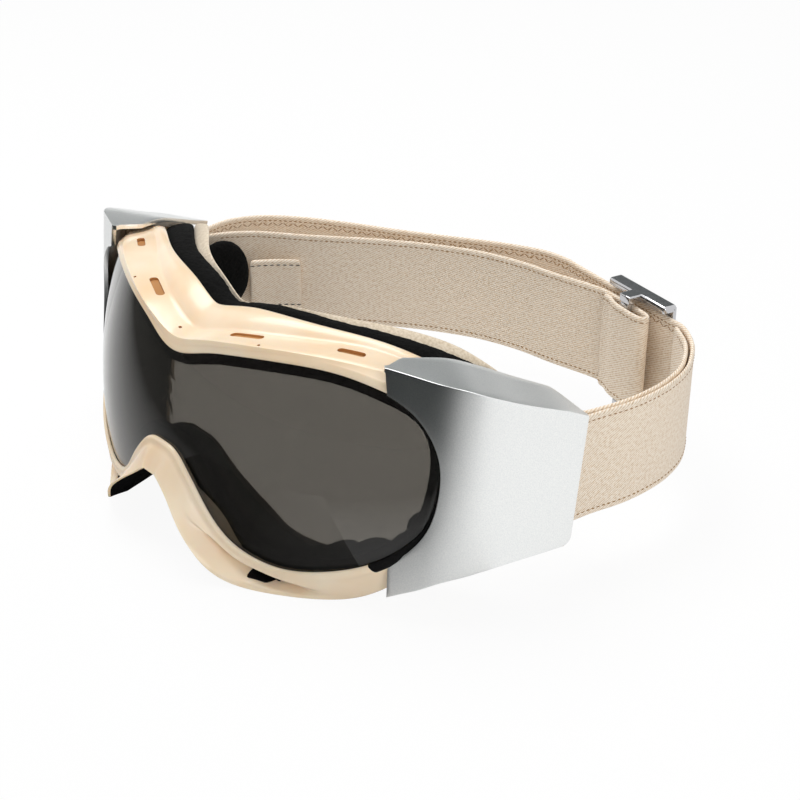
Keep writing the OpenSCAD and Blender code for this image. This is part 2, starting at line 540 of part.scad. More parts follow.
frame();
lens_outer();
lens_inner();
lens_spacer();
face_foam();
foam_lining();
temple_pad_left();
temple_pad_right();
pad_tab_left();
pad_tab_right();
side_plate_left();
side_plate_right();
side_arm_left();
side_arm_right();
strap_pin_left();
strap_pin_right();
vent_filter_left();
vent_filter_right();
strap_band();
strap_return();
slider_frame();
slider_bar();
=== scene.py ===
"""Strap goggles: moulded frame, smoke lens, face foam, metal side plates and a woven head strap."""

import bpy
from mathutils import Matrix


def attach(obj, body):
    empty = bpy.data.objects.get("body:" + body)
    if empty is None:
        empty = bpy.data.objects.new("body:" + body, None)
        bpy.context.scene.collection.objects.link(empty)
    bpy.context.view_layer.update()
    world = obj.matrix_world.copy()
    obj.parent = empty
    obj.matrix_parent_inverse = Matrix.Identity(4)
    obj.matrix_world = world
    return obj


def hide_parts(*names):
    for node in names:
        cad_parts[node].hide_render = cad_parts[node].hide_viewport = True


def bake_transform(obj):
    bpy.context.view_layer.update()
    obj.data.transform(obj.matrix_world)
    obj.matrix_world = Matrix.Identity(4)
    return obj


bl_info = {
    "name": "Strap Goggles",
    "version": (1, 0, 0),
    "blender": (4, 5, 0),
    "location": "View3D > Sidebar > Goggles",
    "description": "Builds protective strap goggles round their packed CAD frame",
    "category": "Object",
}

import math

import bmesh
import bpy
from bpy.props import FloatProperty, FloatVectorProperty, PointerProperty
from mathutils import Matrix, Vector, noise

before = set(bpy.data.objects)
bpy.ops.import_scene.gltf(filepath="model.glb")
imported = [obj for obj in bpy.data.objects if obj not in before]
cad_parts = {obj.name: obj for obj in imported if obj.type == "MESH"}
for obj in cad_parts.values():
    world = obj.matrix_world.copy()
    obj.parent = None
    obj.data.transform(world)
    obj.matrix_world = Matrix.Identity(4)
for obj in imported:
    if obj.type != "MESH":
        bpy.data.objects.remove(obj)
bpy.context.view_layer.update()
MM = 0.001
GOGGLES = "goggles"
SLIDER = "slider"

# The face assembly's own zero, the dip in the brow, stands here in the object's frame, in millimetres
HOME = Vector((0.0, -77.155, 69.5))

# Sizes in millimetres and angles in degrees, as the CAD has them or as the photograph shows the visible edges
LENS_W, BROW_RISE, LENS_DROP, NOSE_TOP, NOSE_W = 182.0, 9.8, 59.8, 31.0, 52.0
LENS_R, LENS_RV, LENS_BELLY = 130.5, 152.0, 37.0
LEAN, PLATE_LEAN = 4.6, 1.5
LENS_T, SPACER_T, INNER_T, LENS_BITE, LENS_PLAY = 1.8, 3.0, 1.2, 1.1, 0.15
LIP_H, LEDGE_T, LAND_W, BROW_D, SCOOP_D = 1.6, 1.6, 8.0, 13.0, 7.5
FOAM_D, FOAM_SIDE, FOAM_W, LINING_T = 6.0, 9.0, 7.4, 0.6
PLATE_X, PLATE_Y, PLATE_TURN, PLATE_L, PLATE_BULGE, PLATE_T = 74.3, 23.2, 58.4, 65.0, 12.6, 1.6
PLATE_TOP, PLATE_REAR_TOP, PLATE_REAR_LOW, PLATE_LOW = 16.2, 0.3, -44.6, -60.4
PLATE_CORNER, PLATE_FOLD, FLANGE_W, FLANGE_FRONT, FLANGE_SWELL = 3.0, 1.4, 9.4, 0.87, 4.2
PAD_T, PAD_L, PAD_H, PAD_AT = 9.0, 26.0, 30.0, (84.5, 77.2, -25.5)
STRAP_W, STRAP_T, STRAP_TOP = 38.0, 1.6, -12.0
PIN_D, PIN_X, PIN_Y = 3.2, 99.0, 72.0
FRAME_SHARP, LENS_SHARP, CHROME_SHARP, PLATE_SHARP = 42, 50, 60, 38
HALF = LENS_W / 2
NOSE = NOSE_W / 2
STACK = LENS_T + SPACER_T + INNER_T + 0.1

# Steps of half the opening, rings of a loft in each, and halvings of a search
N, RINGS_PER_STEP, HALVINGS = 16, 4, 40


def curve(a, b, c, d, t):
    """Smooth curve through four values."""
    return 0.5 * (2 * b + (c - a) * t + (2 * a - 5 * b + 4 * c - d) * t * t + (3 * b - a - 3 * c + d) * t**3)


def slope(a, b, c, d, t):
    """Slope of that curve."""
    return 0.5 * ((c - a) + 2 * (2 * a - 5 * b + 4 * c - d) * t + 3 * (3 * b - a - 3 * c + d) * t * t)


def lerp(a, b, t):
    """A share of the way from a to b."""
    return a + (b - a) * t


def smooth(x):
    """A soft step from 0 to 1."""
    x = max(0.0, min(1.0, x))
    return x * x * (3 - 2 * x)


def cheek(f):
    """Height at a share of the way from the nose arch down to the cheek."""
    return -(NOSE_TOP + f * (LENS_DROP - NOSE_TOP))


# Control points of half the lens opening, from the brow dip round to the nose arch
RIM = [
    (0, 0), (0.21 * HALF, 0.53 * BROW_RISE), (0.44 * HALF, 0.89 * BROW_RISE), (0.64 * HALF, BROW_RISE),
    (0.8 * HALF, 0.7 * BROW_RISE), (0.92 * HALF, 0.14 * BROW_RISE), (0.985 * HALF, -0.14 * LENS_DROP),
    (HALF, -0.375 * LENS_DROP), (0.973 * HALF, -0.6 * LENS_DROP), (0.868 * HALF, -0.8 * LENS_DROP),
    (0.725 * HALF, -0.925 * LENS_DROP), (0.55 * HALF, -LENS_DROP), (0.395 * HALF, -0.973 * LENS_DROP),
    (NOSE, cheek(0.74)), (0.62 * NOSE, cheek(0.33)), (0.3 * NOSE, cheek(0.05)), (0, cheek(0)),
]  # fmt: skip


def rim_point(i):
    """Control point i of the opening, mirrored past either end of the half."""
    if i < 0:
        return (-RIM[-i][0], RIM[-i][1])
    if i > N:
        return (-RIM[2 * N - i][0], RIM[2 * N - i][1])
    return RIM[i]


def station(u):
    """Share round the half, point and outward direction at a place round the lens opening."""
    mirror = u > N
    v = 2 * N - u if mirror else u
    i = min(N - 1, int(math.floor(v)))
    t = v - i
    four = [rim_point(i + k) for k in (-1, 0, 1, 2)]
    x, z = (curve(*[p[k] for p in four], t) for k in (0, 1))
    dx, dz = (slope(*[p[k] for p in four], t) for k in (0, 1))
    length = math.hypot(dx, dz)
    ox, oz = -dz / length, dx / length
    return (v, -x, z, -ox, oz) if mirror else (v, x, z, ox, oz)


def stations(k):
    """Places all round the opening, k to each control point."""
    return [station(j / k) for j in range(2 * N * k)]


def along(values, u):
    """A list of seventeen values read smoothly along the half."""

    def value(i):
        return values[-i] if i < 0 else values[2 * N - i] if i > N else values[i]

    i = min(N - 1, int(math.floor(u)))
    return curve(value(i - 1), value(i), value(i + 1), value(i + 2), u - i)


RING_Y = LENS_R - (LENS_RV - math.sqrt(LENS_RV**2 - LENS_BELLY**2))


def ring_r(z):
    """Radius of the lens barrel at a height."""
    return LENS_R - (LENS_RV - math.sqrt(LENS_RV**2 - (z + LENS_BELLY) ** 2))


def lens_y(x, z):
    """Front face of the lens, a barrel about an upright axis."""
    return RING_Y - math.sqrt(max(1.0, ring_r(z) ** 2 - x * x))


def spot(s, o, b):
    """A point at an outward offset o and a depth b behind the lens face."""
    x, z = s[1] + o * s[3], s[2] + o * s[4]
    return Vector((x, lens_y(x, z) + b, z))


def seat(s, o, b):
    """A point at an offset o and at a depth b square to the lens face."""
    x, z = s[1] + o * s[3], s[2] + o * s[4]
    return Vector((x, RING_Y - math.sqrt(max(1.0, (ring_r(z) - b) ** 2 - x * x)), z))


# Frame edges along the half: outward offset and depth behind the lens face
BRIM_O = [5, 4.4, 4, 3.8, 4.2, 4.5, 4.5, 4.5, 4.8, 7, 11, 9.5, 9.5, 5.2, 8.2, 9.9, 10.5]
BRIM_B = [-1.7, -3, -2, -1.2, 1.5, 1.5, 1.5, 2.2, 3.3, 5.6, 1.8, -3, -8.5, -10.5, -7, -6, -5.6]
RIDGE_O = [7, 6.4, 5.6, 5.2, 5, 5, 5, 5, 5.2, 7, 10.8, 9.3, 9, 8.0, 9.4, 10.3, 10.7]
RIDGE_B = [6, 6.2, 9.5, 12, 11, 9, 8, 8, 8, 9, 8, 4, -1, -3, -1, 0, 0]
REAR_O = [12.3, 11, 7.8, 5, 4, 4.4, 4.6, 4.6, 4.6, 5.5, 7.2, 6.8, 5.8, 3.5, 6, 7, 7.5]
REAR_B = [0, 0.5, 1.5, 4, 5, 4, 3, 3, 3, 3, 2, 1, 0, -0.6, -2, -3, -3.3]
LIP_K = [1, 1, 1, 1, 0.8, 0.55, 0.5, 0.5, 0.5, 0.65, 1, 1, 1, 1, 1, 1, 1]
RISE = [2.6, 2.5, 2.2, 1.7, 1.0, 0.4, 0, 0, 0, 0, 0, 0, 0, 0, 0, 0, 0]
FACE_N = 9
FOAM_K = [0.5, 0.56, 0.6, 0.75, 0.9, 1, 1, 1, 0.9, 0.7, 0.5, 0.35, 0.2, 0.1, 0, 0, 0]
RIM_GAP = [1, 1, 1, 1, 1, 1.6, 2.4, 2.3, 1.9, 2.1, 3.0, 3, 1, 1, 1, 1, 1]
SCOOP_FROM, SCOOP_TO = 10.3, 13.5


def scoop(u, v):
    """Depth of the almond-shaped air scoop at a place along the rim and a share of the way from lip to brim."""
    start = 0.16 + 0.5 * smooth((11.5 - u) / 1.3) + 0.3 * smooth((u - 12.6) / 0.9)
    t = (v - start) / (0.93 - start)
    if not (SCOOP_FROM <= u <= SCOOP_TO and 0 < t < 1):
        return 0.0
    depth = SCOOP_D * smooth(t / 0.2) * (1 - smooth((t - 0.35) / 0.65))
    return depth * smooth((u - SCOOP_FROM) / 0.9) * smooth((SCOOP_TO - u) / 1.0)


def face_spot(s, n):
    """Face of the frame between the lip and the brim, with the air scoop pressed in."""
    u, v = s[0], n / (FACE_N - 1)
    out = lerp(LENS_BITE + 1.4, along(BRIM_O, u), v)
    return spot(s, out, lerp(-LIP_H * along(LIP_K, u), along(BRIM_B, u), v**0.8) + scoop(u, v))


def frame_section(s):
    """Points round the frame's section, from the groove's front lip over the face, shelf and ridge to its back."""
    u = s[0]
    lip, rise = LIP_H * along(LIP_K, u), along(RISE, u)
    bo, bb = along(BRIM_O, u), along(BRIM_B, u)
    ro, rb = along(RIDGE_O, u), along(RIDGE_B, u)
    eo, eb = along(REAR_O, u), BROW_D + along(REAR_B, u)
    groove, back = LENS_BITE + LENS_PLAY, STACK + LENS_PLAY
    return [
        seat(s, groove, -LENS_PLAY),
        seat(s, 0, -LENS_PLAY),
        spot(s, 0, -0.5 * lip - 0.05),
        spot(s, 0.7, -lip),
        *[face_spot(s, n) for n in range(FACE_N)],
        spot(s, bo + 0.35, lerp(bb, rb, 0.12)),
        spot(s, lerp(bo, ro, 0.6) + 0.2 - 0.25 * rise, lerp(bb, rb, 0.55)),
        spot(s, ro - 0.35 * rise, rb),
        spot(s, lerp(ro, eo, 0.2) + 0.45 * rise, lerp(rb, eb, 0.22)),
        spot(s, lerp(ro, eo, 0.5) + 0.7 * rise, lerp(rb, eb, 0.55)),
        spot(s, lerp(ro, eo, 0.9) + 0.25 * rise, lerp(rb, eb, 0.93)),
        spot(s, eo, eb),
        spot(s, eo - LAND_W, eb),
        seat(s, min(0.6, eo - LAND_W + 2), back + LEDGE_T + 1),
        seat(s, 0.6, back),
        seat(s, groove, back),
    ]


# How crisp each of those points stays when the frame is smoothed, and places among them
SECTION_CREASE = [
    1, 0.7, 0.35, 0.45, *[0] * (FACE_N - 1), 0.5, 0.45, 0, 0.65, 0, 0, 0.2, 0.75, 0.75, 0.9, 1, 1,
]  # fmt: skip
SHELF_COLUMN, REAR_COLUMN, LAST_COLUMN = 13, 19, 23

LEANING = Matrix.Translation(HOME) @ Matrix.Rotation(math.radians(-LEAN), 4, "X")
LEVEL = Matrix.Translation(HOME)
ON_CHORD = (
    LEANING
    @ Matrix.Rotation(math.radians(-PLATE_LEAN), 4, "X")
    @ Matrix.Translation((PLATE_X, PLATE_Y, 0))
    @ Matrix.Rotation(math.radians(PLATE_TURN), 4, "Z")
)
TO_METRES = Matrix.Scale(MM, 4)
MIRRORED = Matrix.Scale(-1, 4, (1, 0, 0))


def linear(code):
    """Linear colour from an sRGB hex value."""
    parts = [int(code[k : k + 2], 16) / 255 for k in (1, 3, 5)]
    return (*[c / 12.92 if c <= 0.04045 else ((c + 0.055) / 1.055) ** 2.4 for c in parts], 1.0)


class GogglesLooks(bpy.types.PropertyGroup):
    """Sizes, lights and colours of the visible pieces that a user would change."""

    lip_round: FloatProperty(
        name="Edge rounding", description="Rounding on the plates' cut edges", default=0.0007, unit="LENGTH"
    )
    webbing_hem: FloatProperty(
        name="Hem", description="Width of the rolled hem on the strap", default=0.0022, unit="LENGTH"
    )
    stitch_pitch: FloatProperty(
        name="Stitch pitch", description="Distance from stitch to stitch", default=0.0021, unit="LENGTH"
    )
    fleece_lump: FloatProperty(
        name="Fleece lumps", description="Height of the lumps in the foam's fleece", default=0.0004, unit="LENGTH"
    )
    key_power: FloatProperty(
        name="Key light", description="Power of the large soft light", default=7.0, unit="POWER"
    )
    fill_power: FloatProperty(
        name="Fill light", description="Power of the second soft light", default=1.8, unit="POWER"
    )
    frame_pale: FloatVectorProperty(
        name="Frame, pale", description="Paler tone of the nylon", default=linear("#FBE9D0"), size=4, subtype="COLOR"
    )
    frame_deep: FloatVectorProperty(
        name="Frame, deep", description="Deeper tone of the nylon", default=linear("#F4D4AE"), size=4, subtype="COLOR"
    )
    lens_tint: FloatVectorProperty(
        name="Lens tint", description="Smoke tint of the lens", default=linear("#6C6964"), size=4, subtype="COLOR"
    )
    strap_tone: FloatVectorProperty(
        name="Strap", description="Middle tone of the webbing", default=linear("#F3DFC6"), size=4, subtype="COLOR"
    )
    thread_tone: FloatVectorProperty(
        name="Stitching", description="Colour of the thread", default=linear("#A27C4E"), size=4, subtype="COLOR"
    )


# Materials

NOISE, CELLS, WAVES = "ShaderNodeTexNoise", "ShaderNodeTexVoronoi", "ShaderNodeTexWave"
METAL, NYLON_IOR, LENS_IOR = {"Metallic": 1.0}, 1.53, 1.58


def colour_of(value):
    """A linear colour from an sRGB hex value, or from the name of one of the looks' colours."""
    return linear(value) if value.startswith("#") else tuple(getattr(bpy.context.scene.goggles_looks, value))


def add_node(tree, kind, settings=None, links=None, stops=()):
    """Adds one node with its settings, the links that feed it and any colour stops."""
    made = tree.nodes.new(kind)
    for key, value in (settings or {}).items():
        if isinstance(key, str) and key not in made.inputs and hasattr(made, key):
            setattr(made, key, value)
        else:
            made.inputs[key].default_value = value
    for socket, source in (links or {}).items():
        tree.links.new(source, made.inputs[socket])
    for k, (at, colour) in enumerate(stops):
        held = made.color_ramp.elements
        stop = held[k] if k < len(held) else held.new(1.0)
        stop.position, stop.color = at, colour_of(colour)
    return made


def new_material(name, constants):
    """A material with one Principled shader and its constants. A text is a colour."""
    made = bpy.data.materials.new(name)
    made.use_nodes = True
    tree = made.node_tree
    tree.nodes.clear()
    shader = add_node(tree, "ShaderNodeBsdfPrincipled")
    add_node(tree, "ShaderNodeOutputMaterial", None, {"Surface": shader.outputs[0]})
    for socket, value in constants.items():
        shader.inputs[socket].default_value = colour_of(value) if isinstance(value, str) else value
    return made, tree, shader


def wire(tree, shader, tone=None, rough=None, bump=None):
    """Feeds the shader: tone is a value and its colour stops, rough a value and two ends, bump a value and sizes."""
    if tone:
        value, *stops = tone
        mixed = add_node(tree, "ShaderNodeValToRGB", None, {"Fac": value}, stops)
        tree.links.new(mixed.outputs["Color"], shader.inputs["Base Color"])
    if rough:
        value, low, high = rough
        spread = add_node(tree, "ShaderNodeMapRange", {"To Min": low, "To Max": high}, {"Value": value})
        tree.links.new(spread.outputs[0], shader.inputs["Roughness"])
    if bump:
        value, strength, distance = bump
        relief = add_node(tree, "ShaderNodeBump", {"Strength": strength, "Distance": distance}, {"Height": value})
        tree.links.new(relief.outputs[0], shader.inputs["Normal"])


def surface(name, constants, tone=None, rough=None, bump=None, stretch=None):
    """A material whose tone, roughness and relief each follow a pattern, or a sum of two, in Object coordinates."""
    made, tree, shader = new_material(name, constants)
    place = add_node(tree, "ShaderNodeTexCoord").outputs["Object"]
    if stretch:
        place = add_node(tree, "ShaderNodeMapping", {"Scale": stretch}, {"Vector": place}).outputs[0]
    values = {}

    def value_of(*patterns):
        for kind, settings in patterns:
            if (kind, settings["Scale"]) not in values:
                node = add_node(tree, kind, settings, {"Vector": place})
                values[kind, settings["Scale"]] = node.outputs["Distance" if kind == CELLS else "Fac"]
        found = [values[kind, settings["Scale"]] for kind, settings in patterns]
        if len(found) == 1:
            return found[0]
        return add_node(tree, "ShaderNodeMath", {"operation": "ADD"}, dict(enumerate(found))).outputs[0]

    wire(tree, shader, *[part and (value_of(*part[0]), *part[1:]) for part in (tone, rough, bump)])
    return made


def nylon(name, deep, pale):
    """Glossy injection-moulded nylon. A polished mould gives it broad clean highlights, with a ripple of about 6 mm."""
    ripple, cloud = (NOISE, {"Scale": 160.0, "Detail": 2.0}), (NOISE, {"Scale": 35.0, "Detail": 3.0})
    glow = {"Subsurface Weight": 0.25, "Subsurface Scale": 0.003, "Subsurface Radius": (1.0, 0.7, 0.4)}
    tone = ([cloud], (0.3, deep), (0.7, pale))
    return surface(name, {"IOR": NYLON_IOR, **glow}, tone, ([cloud], 0.17, 0.26), ([ripple], 0.06, 0.0004))


def moulded_lens(name, tint):
    """Hard-coated polycarbonate, optically smooth. Its tint darkens what is seen through it evenly."""
    coat = (NOISE, {"Scale": 40.0, "Detail": 2.0})
    glass = {"Base Color": tint, "IOR": LENS_IOR, "Transmission Weight": 1.0, "Specular IOR Level": 0.25}
    return surface(name, glass, rough=([coat], 0.0, 0.03))


def thread(name, colour):
    """Bonded polyester sewing thread with a slight lustre. Its plies are drawn 0.35 mm apart so that they show."""
    plies = (WAVES, {"Scale": 900.0, "bands_direction": "DIAGONAL"})
    return surface(name, {"Base Color": colour}, rough=([plies], 0.5, 0.7), bump=([plies], 0.3, 0.0001))


def foam_rubber():
    """Closed-cell foam rubber, black and matte. Its fine pores are drawn 0.7 mm wide so that they show."""
    pores = (CELLS, {"Scale": 1400.0})
    tone = ([pores], (0.0, "#050505"), (0.8, "#121111"))
    matte = {"Roughness": 0.85, "Specular IOR Level": 0.15}
    return surface("foam_rubber_black", matte, tone, None, ([pores], 0.5, 0.0003))


def fleece():
    """Brushed polyester fleece over foam, black. Tiny curls of 1 to 2 mm catch the light as soft grey flecks."""
    curls = (NOISE, {"Scale": 900.0, "Detail": 6.0, "Roughness": 0.7, "Distortion": 1.5})
    tufts = (CELLS, {"Scale": 520.0})
    tone = ([curls], (0.35, "#030303"), (0.6, "#0C0C0B"), (0.8, "#22211F"))
    matte = {"Roughness": 0.95, "Specular IOR Level": 0.12}
    return surface("polyester_fleece_black", matte, tone, None, ([curls, tufts], 0.8, 0.0006))


def knit():
    """Brushed polyester knit, beige, with a soft pile of about 1 mm."""
    pile = (NOISE, {"Scale": 1100.0, "Detail": 4.0})
    tone = ([pile], (0.3, "#C9B79C"), (0.7, "#EADCC6"))
    return surface("polyester_knit_beige", {"Roughness": 0.9, "Sheen Weight": 0.3}, tone, None, ([pile], 0.5, 0.0004))


def aluminium():
    """Bead-blasted and clear anodised aluminium sheet: an even satin grain, drawn 0.4 mm wide so that it shows."""
    grain, cloud = (NOISE, {"Scale": 2600.0, "Detail": 2.0}), (NOISE, {"Scale": 60.0, "Detail": 3.0})
    tone = ([grain], (0.3, "#E8EAEA"), (0.7, "#F5F6F4"))
    return surface("anodised_aluminium_satin", METAL, tone, ([cloud], 0.3, 0.36), ([grain], 0.12, 0.0002))


def chrome():
    """Chromed zinc die casting: mirror bright, with a faint unevenness about 8 mm wide under the plating."""
    cast = (NOISE, {"Scale": 120.0, "Detail": 2.0})
    plated = {**METAL, "Base Color": "#C4C4C6"}
    return surface("chromed_zinc", plated, rough=([cast], 0.06, 0.14), bump=([cast], 0.08, 0.0006))


def wire_steel():
    """Drawn stainless wire, with fine marks along its upright length."""
    marks = (NOISE, {"Scale": 3000.0})
    drawn = {**METAL, "Base Color": "#B9B8B6"}
    return surface("stainless_wire", drawn, rough=([marks], 0.2, 0.4), stretch=(1, 1, 0.05))


def textured_nylon():
    """Moulded nylon, tan, matt from a spark-eroded mould whose pits are drawn 0.7 mm wide so that they show."""
    spark = (CELLS, {"Scale": 1500.0})
    tone = ([spark], (0.1, "#B59673"), (0.9, "#CDB18D"))
    return surface("textured_nylon_tan", {"Roughness": 0.55}, tone, None, ([spark], 0.25, 0.0002))


def webbing_cloth():
    """Polyester twill webbing, beige. Fine diagonal ribs, drawn 0.8 mm apart so that they show, with darker gaps."""
    made, tree, shader = new_material("polyester_webbing_beige", {"Roughness": 0.85, "Sheen Weight": 0.15})
    place = add_node(tree, "ShaderNodeUVMap", {"uv_map": "lay"}).outputs["UV"]
    steep = add_node(tree, "ShaderNodeMapping", {"Scale": (1.0, 1.7, 1.0)}, {"Vector": place})
    twill = {"wave_type": "BANDS", "bands_direction": "DIAGONAL", "Scale": 400.0, "Distortion": 0.8, "Detail": 2.0}
    ribs = add_node(tree, WAVES, twill, {"Vector": steep.outputs[0]})
    fuzz = add_node(tree, NOISE, {"Scale": 900.0, "Detail": 4.0}, {"Vector": place})
    half = {"operation": "MULTIPLY_ADD", 1: 0.5}
    weave = add_node(tree, "ShaderNodeMath", half, {0: ribs.outputs["Fac"], 2: fuzz.outputs["Fac"]}).outputs[0]
    tone = (weave, (0.36, "#D3B795"), (0.66, "strap_tone"), (0.95, "#FFF5E6"))
    wire(tree, shader, tone, None, (weave, 0.4, 0.00025))
    return made


# Inside the slots the same nylon is painted darker and browner: painted shade for the recesses, which lie in shade
MAKERS = {
    "frame": lambda: nylon("moulded_nylon_cream", "frame_deep", "frame_pale"),
    "frame_painted_shade": lambda: nylon("moulded_nylon_recess", "#B98450", "#CC9862"),
    "lens_outer": lambda: moulded_lens("smoke_polycarbonate", "lens_tint"),
    "lens_inner": lambda: moulded_lens("clear_polycarbonate", "#E6E4E0"),
    "thread": lambda: thread("sewing_thread_tan", "thread_tone"),
    "black_thread": lambda: thread("sewing_thread_black", "#151413"),
    "spacer": foam_rubber,
    "fleece": fleece,
    "lining": knit,
    "plate": aluminium,
    "chrome": chrome,
    "pin": wire_steel,
    "arm": textured_nylon,
    "webbing": webbing_cloth,
}
MATERIALS = {}


def finish_of(key):
    """Each material is made once and shared."""
    if key not in MATERIALS:
        MATERIALS[key] = MAKERS[key]()
    return MATERIALS[key]


# Mesh helpers


def piece(name, bm, finish, body=GOGGLES):
    """A new object at the origin from a finished bmesh in metres, with its material and body."""
    mesh = bpy.data.meshes.new(name)
    bm.to_mesh(mesh)
    bm.free()
    mesh.materials.append(finish_of(finish))
    mesh.shade_smooth()
    made = bpy.data.objects.new(name, mesh)
    bpy.context.scene.collection.objects.link(made)
    if body:
        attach(made, body)
    return made


def settle(made):
    """Applies an object's modifiers to its mesh."""
    bpy.context.view_layer.update()
    graph = bpy.context.evaluated_depsgraph_get()
    mesh = bpy.data.meshes.new_from_object(made.evaluated_get(graph), depsgraph=graph)
    made.modifiers.clear()
    made.data = mesh
    return made


def smoothed(made, levels):
    """Rounds an object by subdivision, the same in the view and in a render."""
    rounding = made.modifiers.new("Rounding", "SUBSURF")
    rounding.levels = rounding.render_levels = levels
    return made


def loft(rings, close_ring=True, close_loop=False, creases=None, lay=None):
    """A grid whose rows are laid on equal rings, closed round the ring, round the loop of rings, or both.
    lay gives the UV of a row and column, and creases says how crisp each column stays when it is smoothed."""
    count = len(rings[0])
    across = count + (1 if close_ring else 0)
    along_rings = len(rings) + (1 if close_loop else 0)
    bm = bmesh.new()
    spot_layer = bm.verts.layers.float_vector.new("row_column")
    crease = bm.edges.layers.float.new("crease_edge") if creases else None
    uv = bm.loops.layers.uv.new("lay") if lay else None
    bmesh.ops.create_grid(bm, x_segments=across - 1, y_segments=along_rings - 1, size=1.0)
    for index, vert in enumerate(bm.verts):
        row, column = divmod(index, across)
        vert.co = rings[row % len(rings)][column % count]
        vert[spot_layer] = (row, column, 0)
    if creases:
        for edge in bm.edges:
            a, b = (v[spot_layer] for v in edge.verts)
            if a[1] == b[1]:
                edge[crease] = creases[int(a[1]) % count]
    if lay:
        for face in bm.faces:
            for corner in face.loops:
                corner[uv].uv = lay(*(int(x) for x in corner.vert[spot_layer][:2]))
    bmesh.ops.remove_doubles(bm, verts=bm.verts, dist=1e-7)
    return bm


def capped(bm):
    """Closes the open ends of a tube."""
    bmesh.ops.holes_fill(bm, edges=[e for e in bm.edges if e.is_boundary])
    return bm


# The moulded frame

# Recesses in the brow's shelf, one side: place along the rim, share of the shelf's depth, length and width
SLOTS = [(2.95, 0.55, 9.0, 2.7), (1.33, 0.66, 12.0, 3.0), (1.75, 0.1, 1.0, 0.9)]
MIDDLE_DOT = (-0.2, 0.5, 1.2, 1.1)
SLOT_DEPTH = 1.4
VENT_AT, VENT_L, VENT_H, VENT_DEPTH = Vector((41.6, 3.0, -LENS_DROP - 5.1)), 8.6, 4.4, 18.0
VENT_TILT, VENT_TURN = -88, 8

# Places along the rim that bound the black painted shade: the gap before the side plate, with where only the lip shows
# in it, and the nose arch
GAP_FROM, LIP_FROM, GAP_TO, ARCH_FROM = 4.6, 7.8, 9.2, 12.3


def shelf_point(u, f):
    """A point on the shelf behind the brim, at a share of the way to the ridge."""
    bo, ro = along(BRIM_O, u), along(RIDGE_O, u)
    return spot(station(u), lerp(bo, ro, f), lerp(along(BRIM_B, u), along(RIDGE_B, u), f))


def rounded_prism(bm, length, width, depth, matrix):
    """Adds an upright block with rounded corners, seen from above length by width."""
    fresh = bmesh.ops.create_cube(bm, size=1.0)["verts"]
    bmesh.ops.scale(bm, vec=(length, width, depth), verts=fresh)
    edges = {e for v in fresh for e in v.link_edges}
    upright = [e for e in edges if abs(e.verts[0].co.z - e.verts[1].co.z) > depth / 2]
    corner = 0.45 * min(length, width)
    rounded = bmesh.ops.bevel(bm, geom=upright, offset=corner, affect="EDGES", segments=5, profile=0.5, material=-1)
    verts = list({v for f in rounded["faces"] for v in f.verts} | {v for v in fresh if v.is_valid})
    bmesh.ops.transform(bm, matrix=matrix, verts=verts)


def frame_cuts():
    """The cutters for the brow's slots and the two vent holes, in metres."""
    bm = bmesh.new()

    def sink(u, f, length, width):
        at = shelf_point(u, f)
        along_rim = (shelf_point(u + 0.1, f) - shelf_point(u - 0.1, f)).normalized()
        across = (shelf_point(u, f + 0.2) - shelf_point(u, f - 0.2)).normalized()
        up = along_rim.cross(across).normalized()
        turn = Matrix((along_rim, up.cross(along_rim), up)).transposed().to_4x4()
        rounded_prism(bm, length, width, 2 * SLOT_DEPTH, Matrix.Translation(at) @ turn)

    for slot in SLOTS:
        sink(*slot)
    slots = set(bm.faces)
    turn = Matrix.Rotation(math.radians(VENT_TILT), 4, "X") @ Matrix.Rotation(math.radians(VENT_TURN), 4, "Z")
    outward = Matrix.Translation((0, 0, 1))
    rounded_prism(bm, VENT_L, VENT_H, VENT_DEPTH, Matrix.Translation(VENT_AT) @ turn @ outward)
    # The slots' walls take the nylon painted darker as shade, the vents' walls the black foam
    for face in bm.faces:
        face.material_index = 0 if face in slots else 1
    half = bm.copy()
    bmesh.ops.transform(half, matrix=MIRRORED, verts=half.verts)
    bmesh.ops.reverse_faces(half, faces=half.faces)
    other = bpy.data.meshes.new("cuts")
    half.to_mesh(other)
    half.free()
    bm.from_mesh(other)
    bpy.data.meshes.remove(other)
    sink(*MIDDLE_DOT)
    bmesh.ops.transform(bm, matrix=TO_METRES @ LEANING, verts=bm.verts)
    bmesh.ops.recalc_face_normals(bm, faces=bm.faces)
    return bm


def blacken_wall_and_shade(bm):
    """Finishes black what looks black in the photograph: the wall behind the lens and the rear land are painted black,
    and the lip in the gap before the side plate and the underside of the nose arch get black painted shade."""
    place = bm.verts.layers.float_vector["row_column"]
    for face in bm.faces:
        rows = [v[place][0] / RINGS_PER_STEP for v in face.verts]
        columns = [v[place][1] for v in face.verts]
        u = 0.0 if max(rows) - min(rows) > 1 else N - abs(N - sum(rows) / len(rows))
        behind = min(columns) >= REAR_COLUMN or max(columns) == LAST_COLUMN or max(columns) <= 1
        # Black painted shade: the lip in the gap before the side plate, and the underside of the nose arch
        in_gap = GAP_FROM < u < GAP_TO and max(columns) <= (SHELF_COLUMN - 1 if u < LIP_FROM else 5)
        under_nose = u > ARCH_FROM and min(columns) >= SHELF_COLUMN
        face.material_index = 1 if behind or in_gap or under_nose else 0


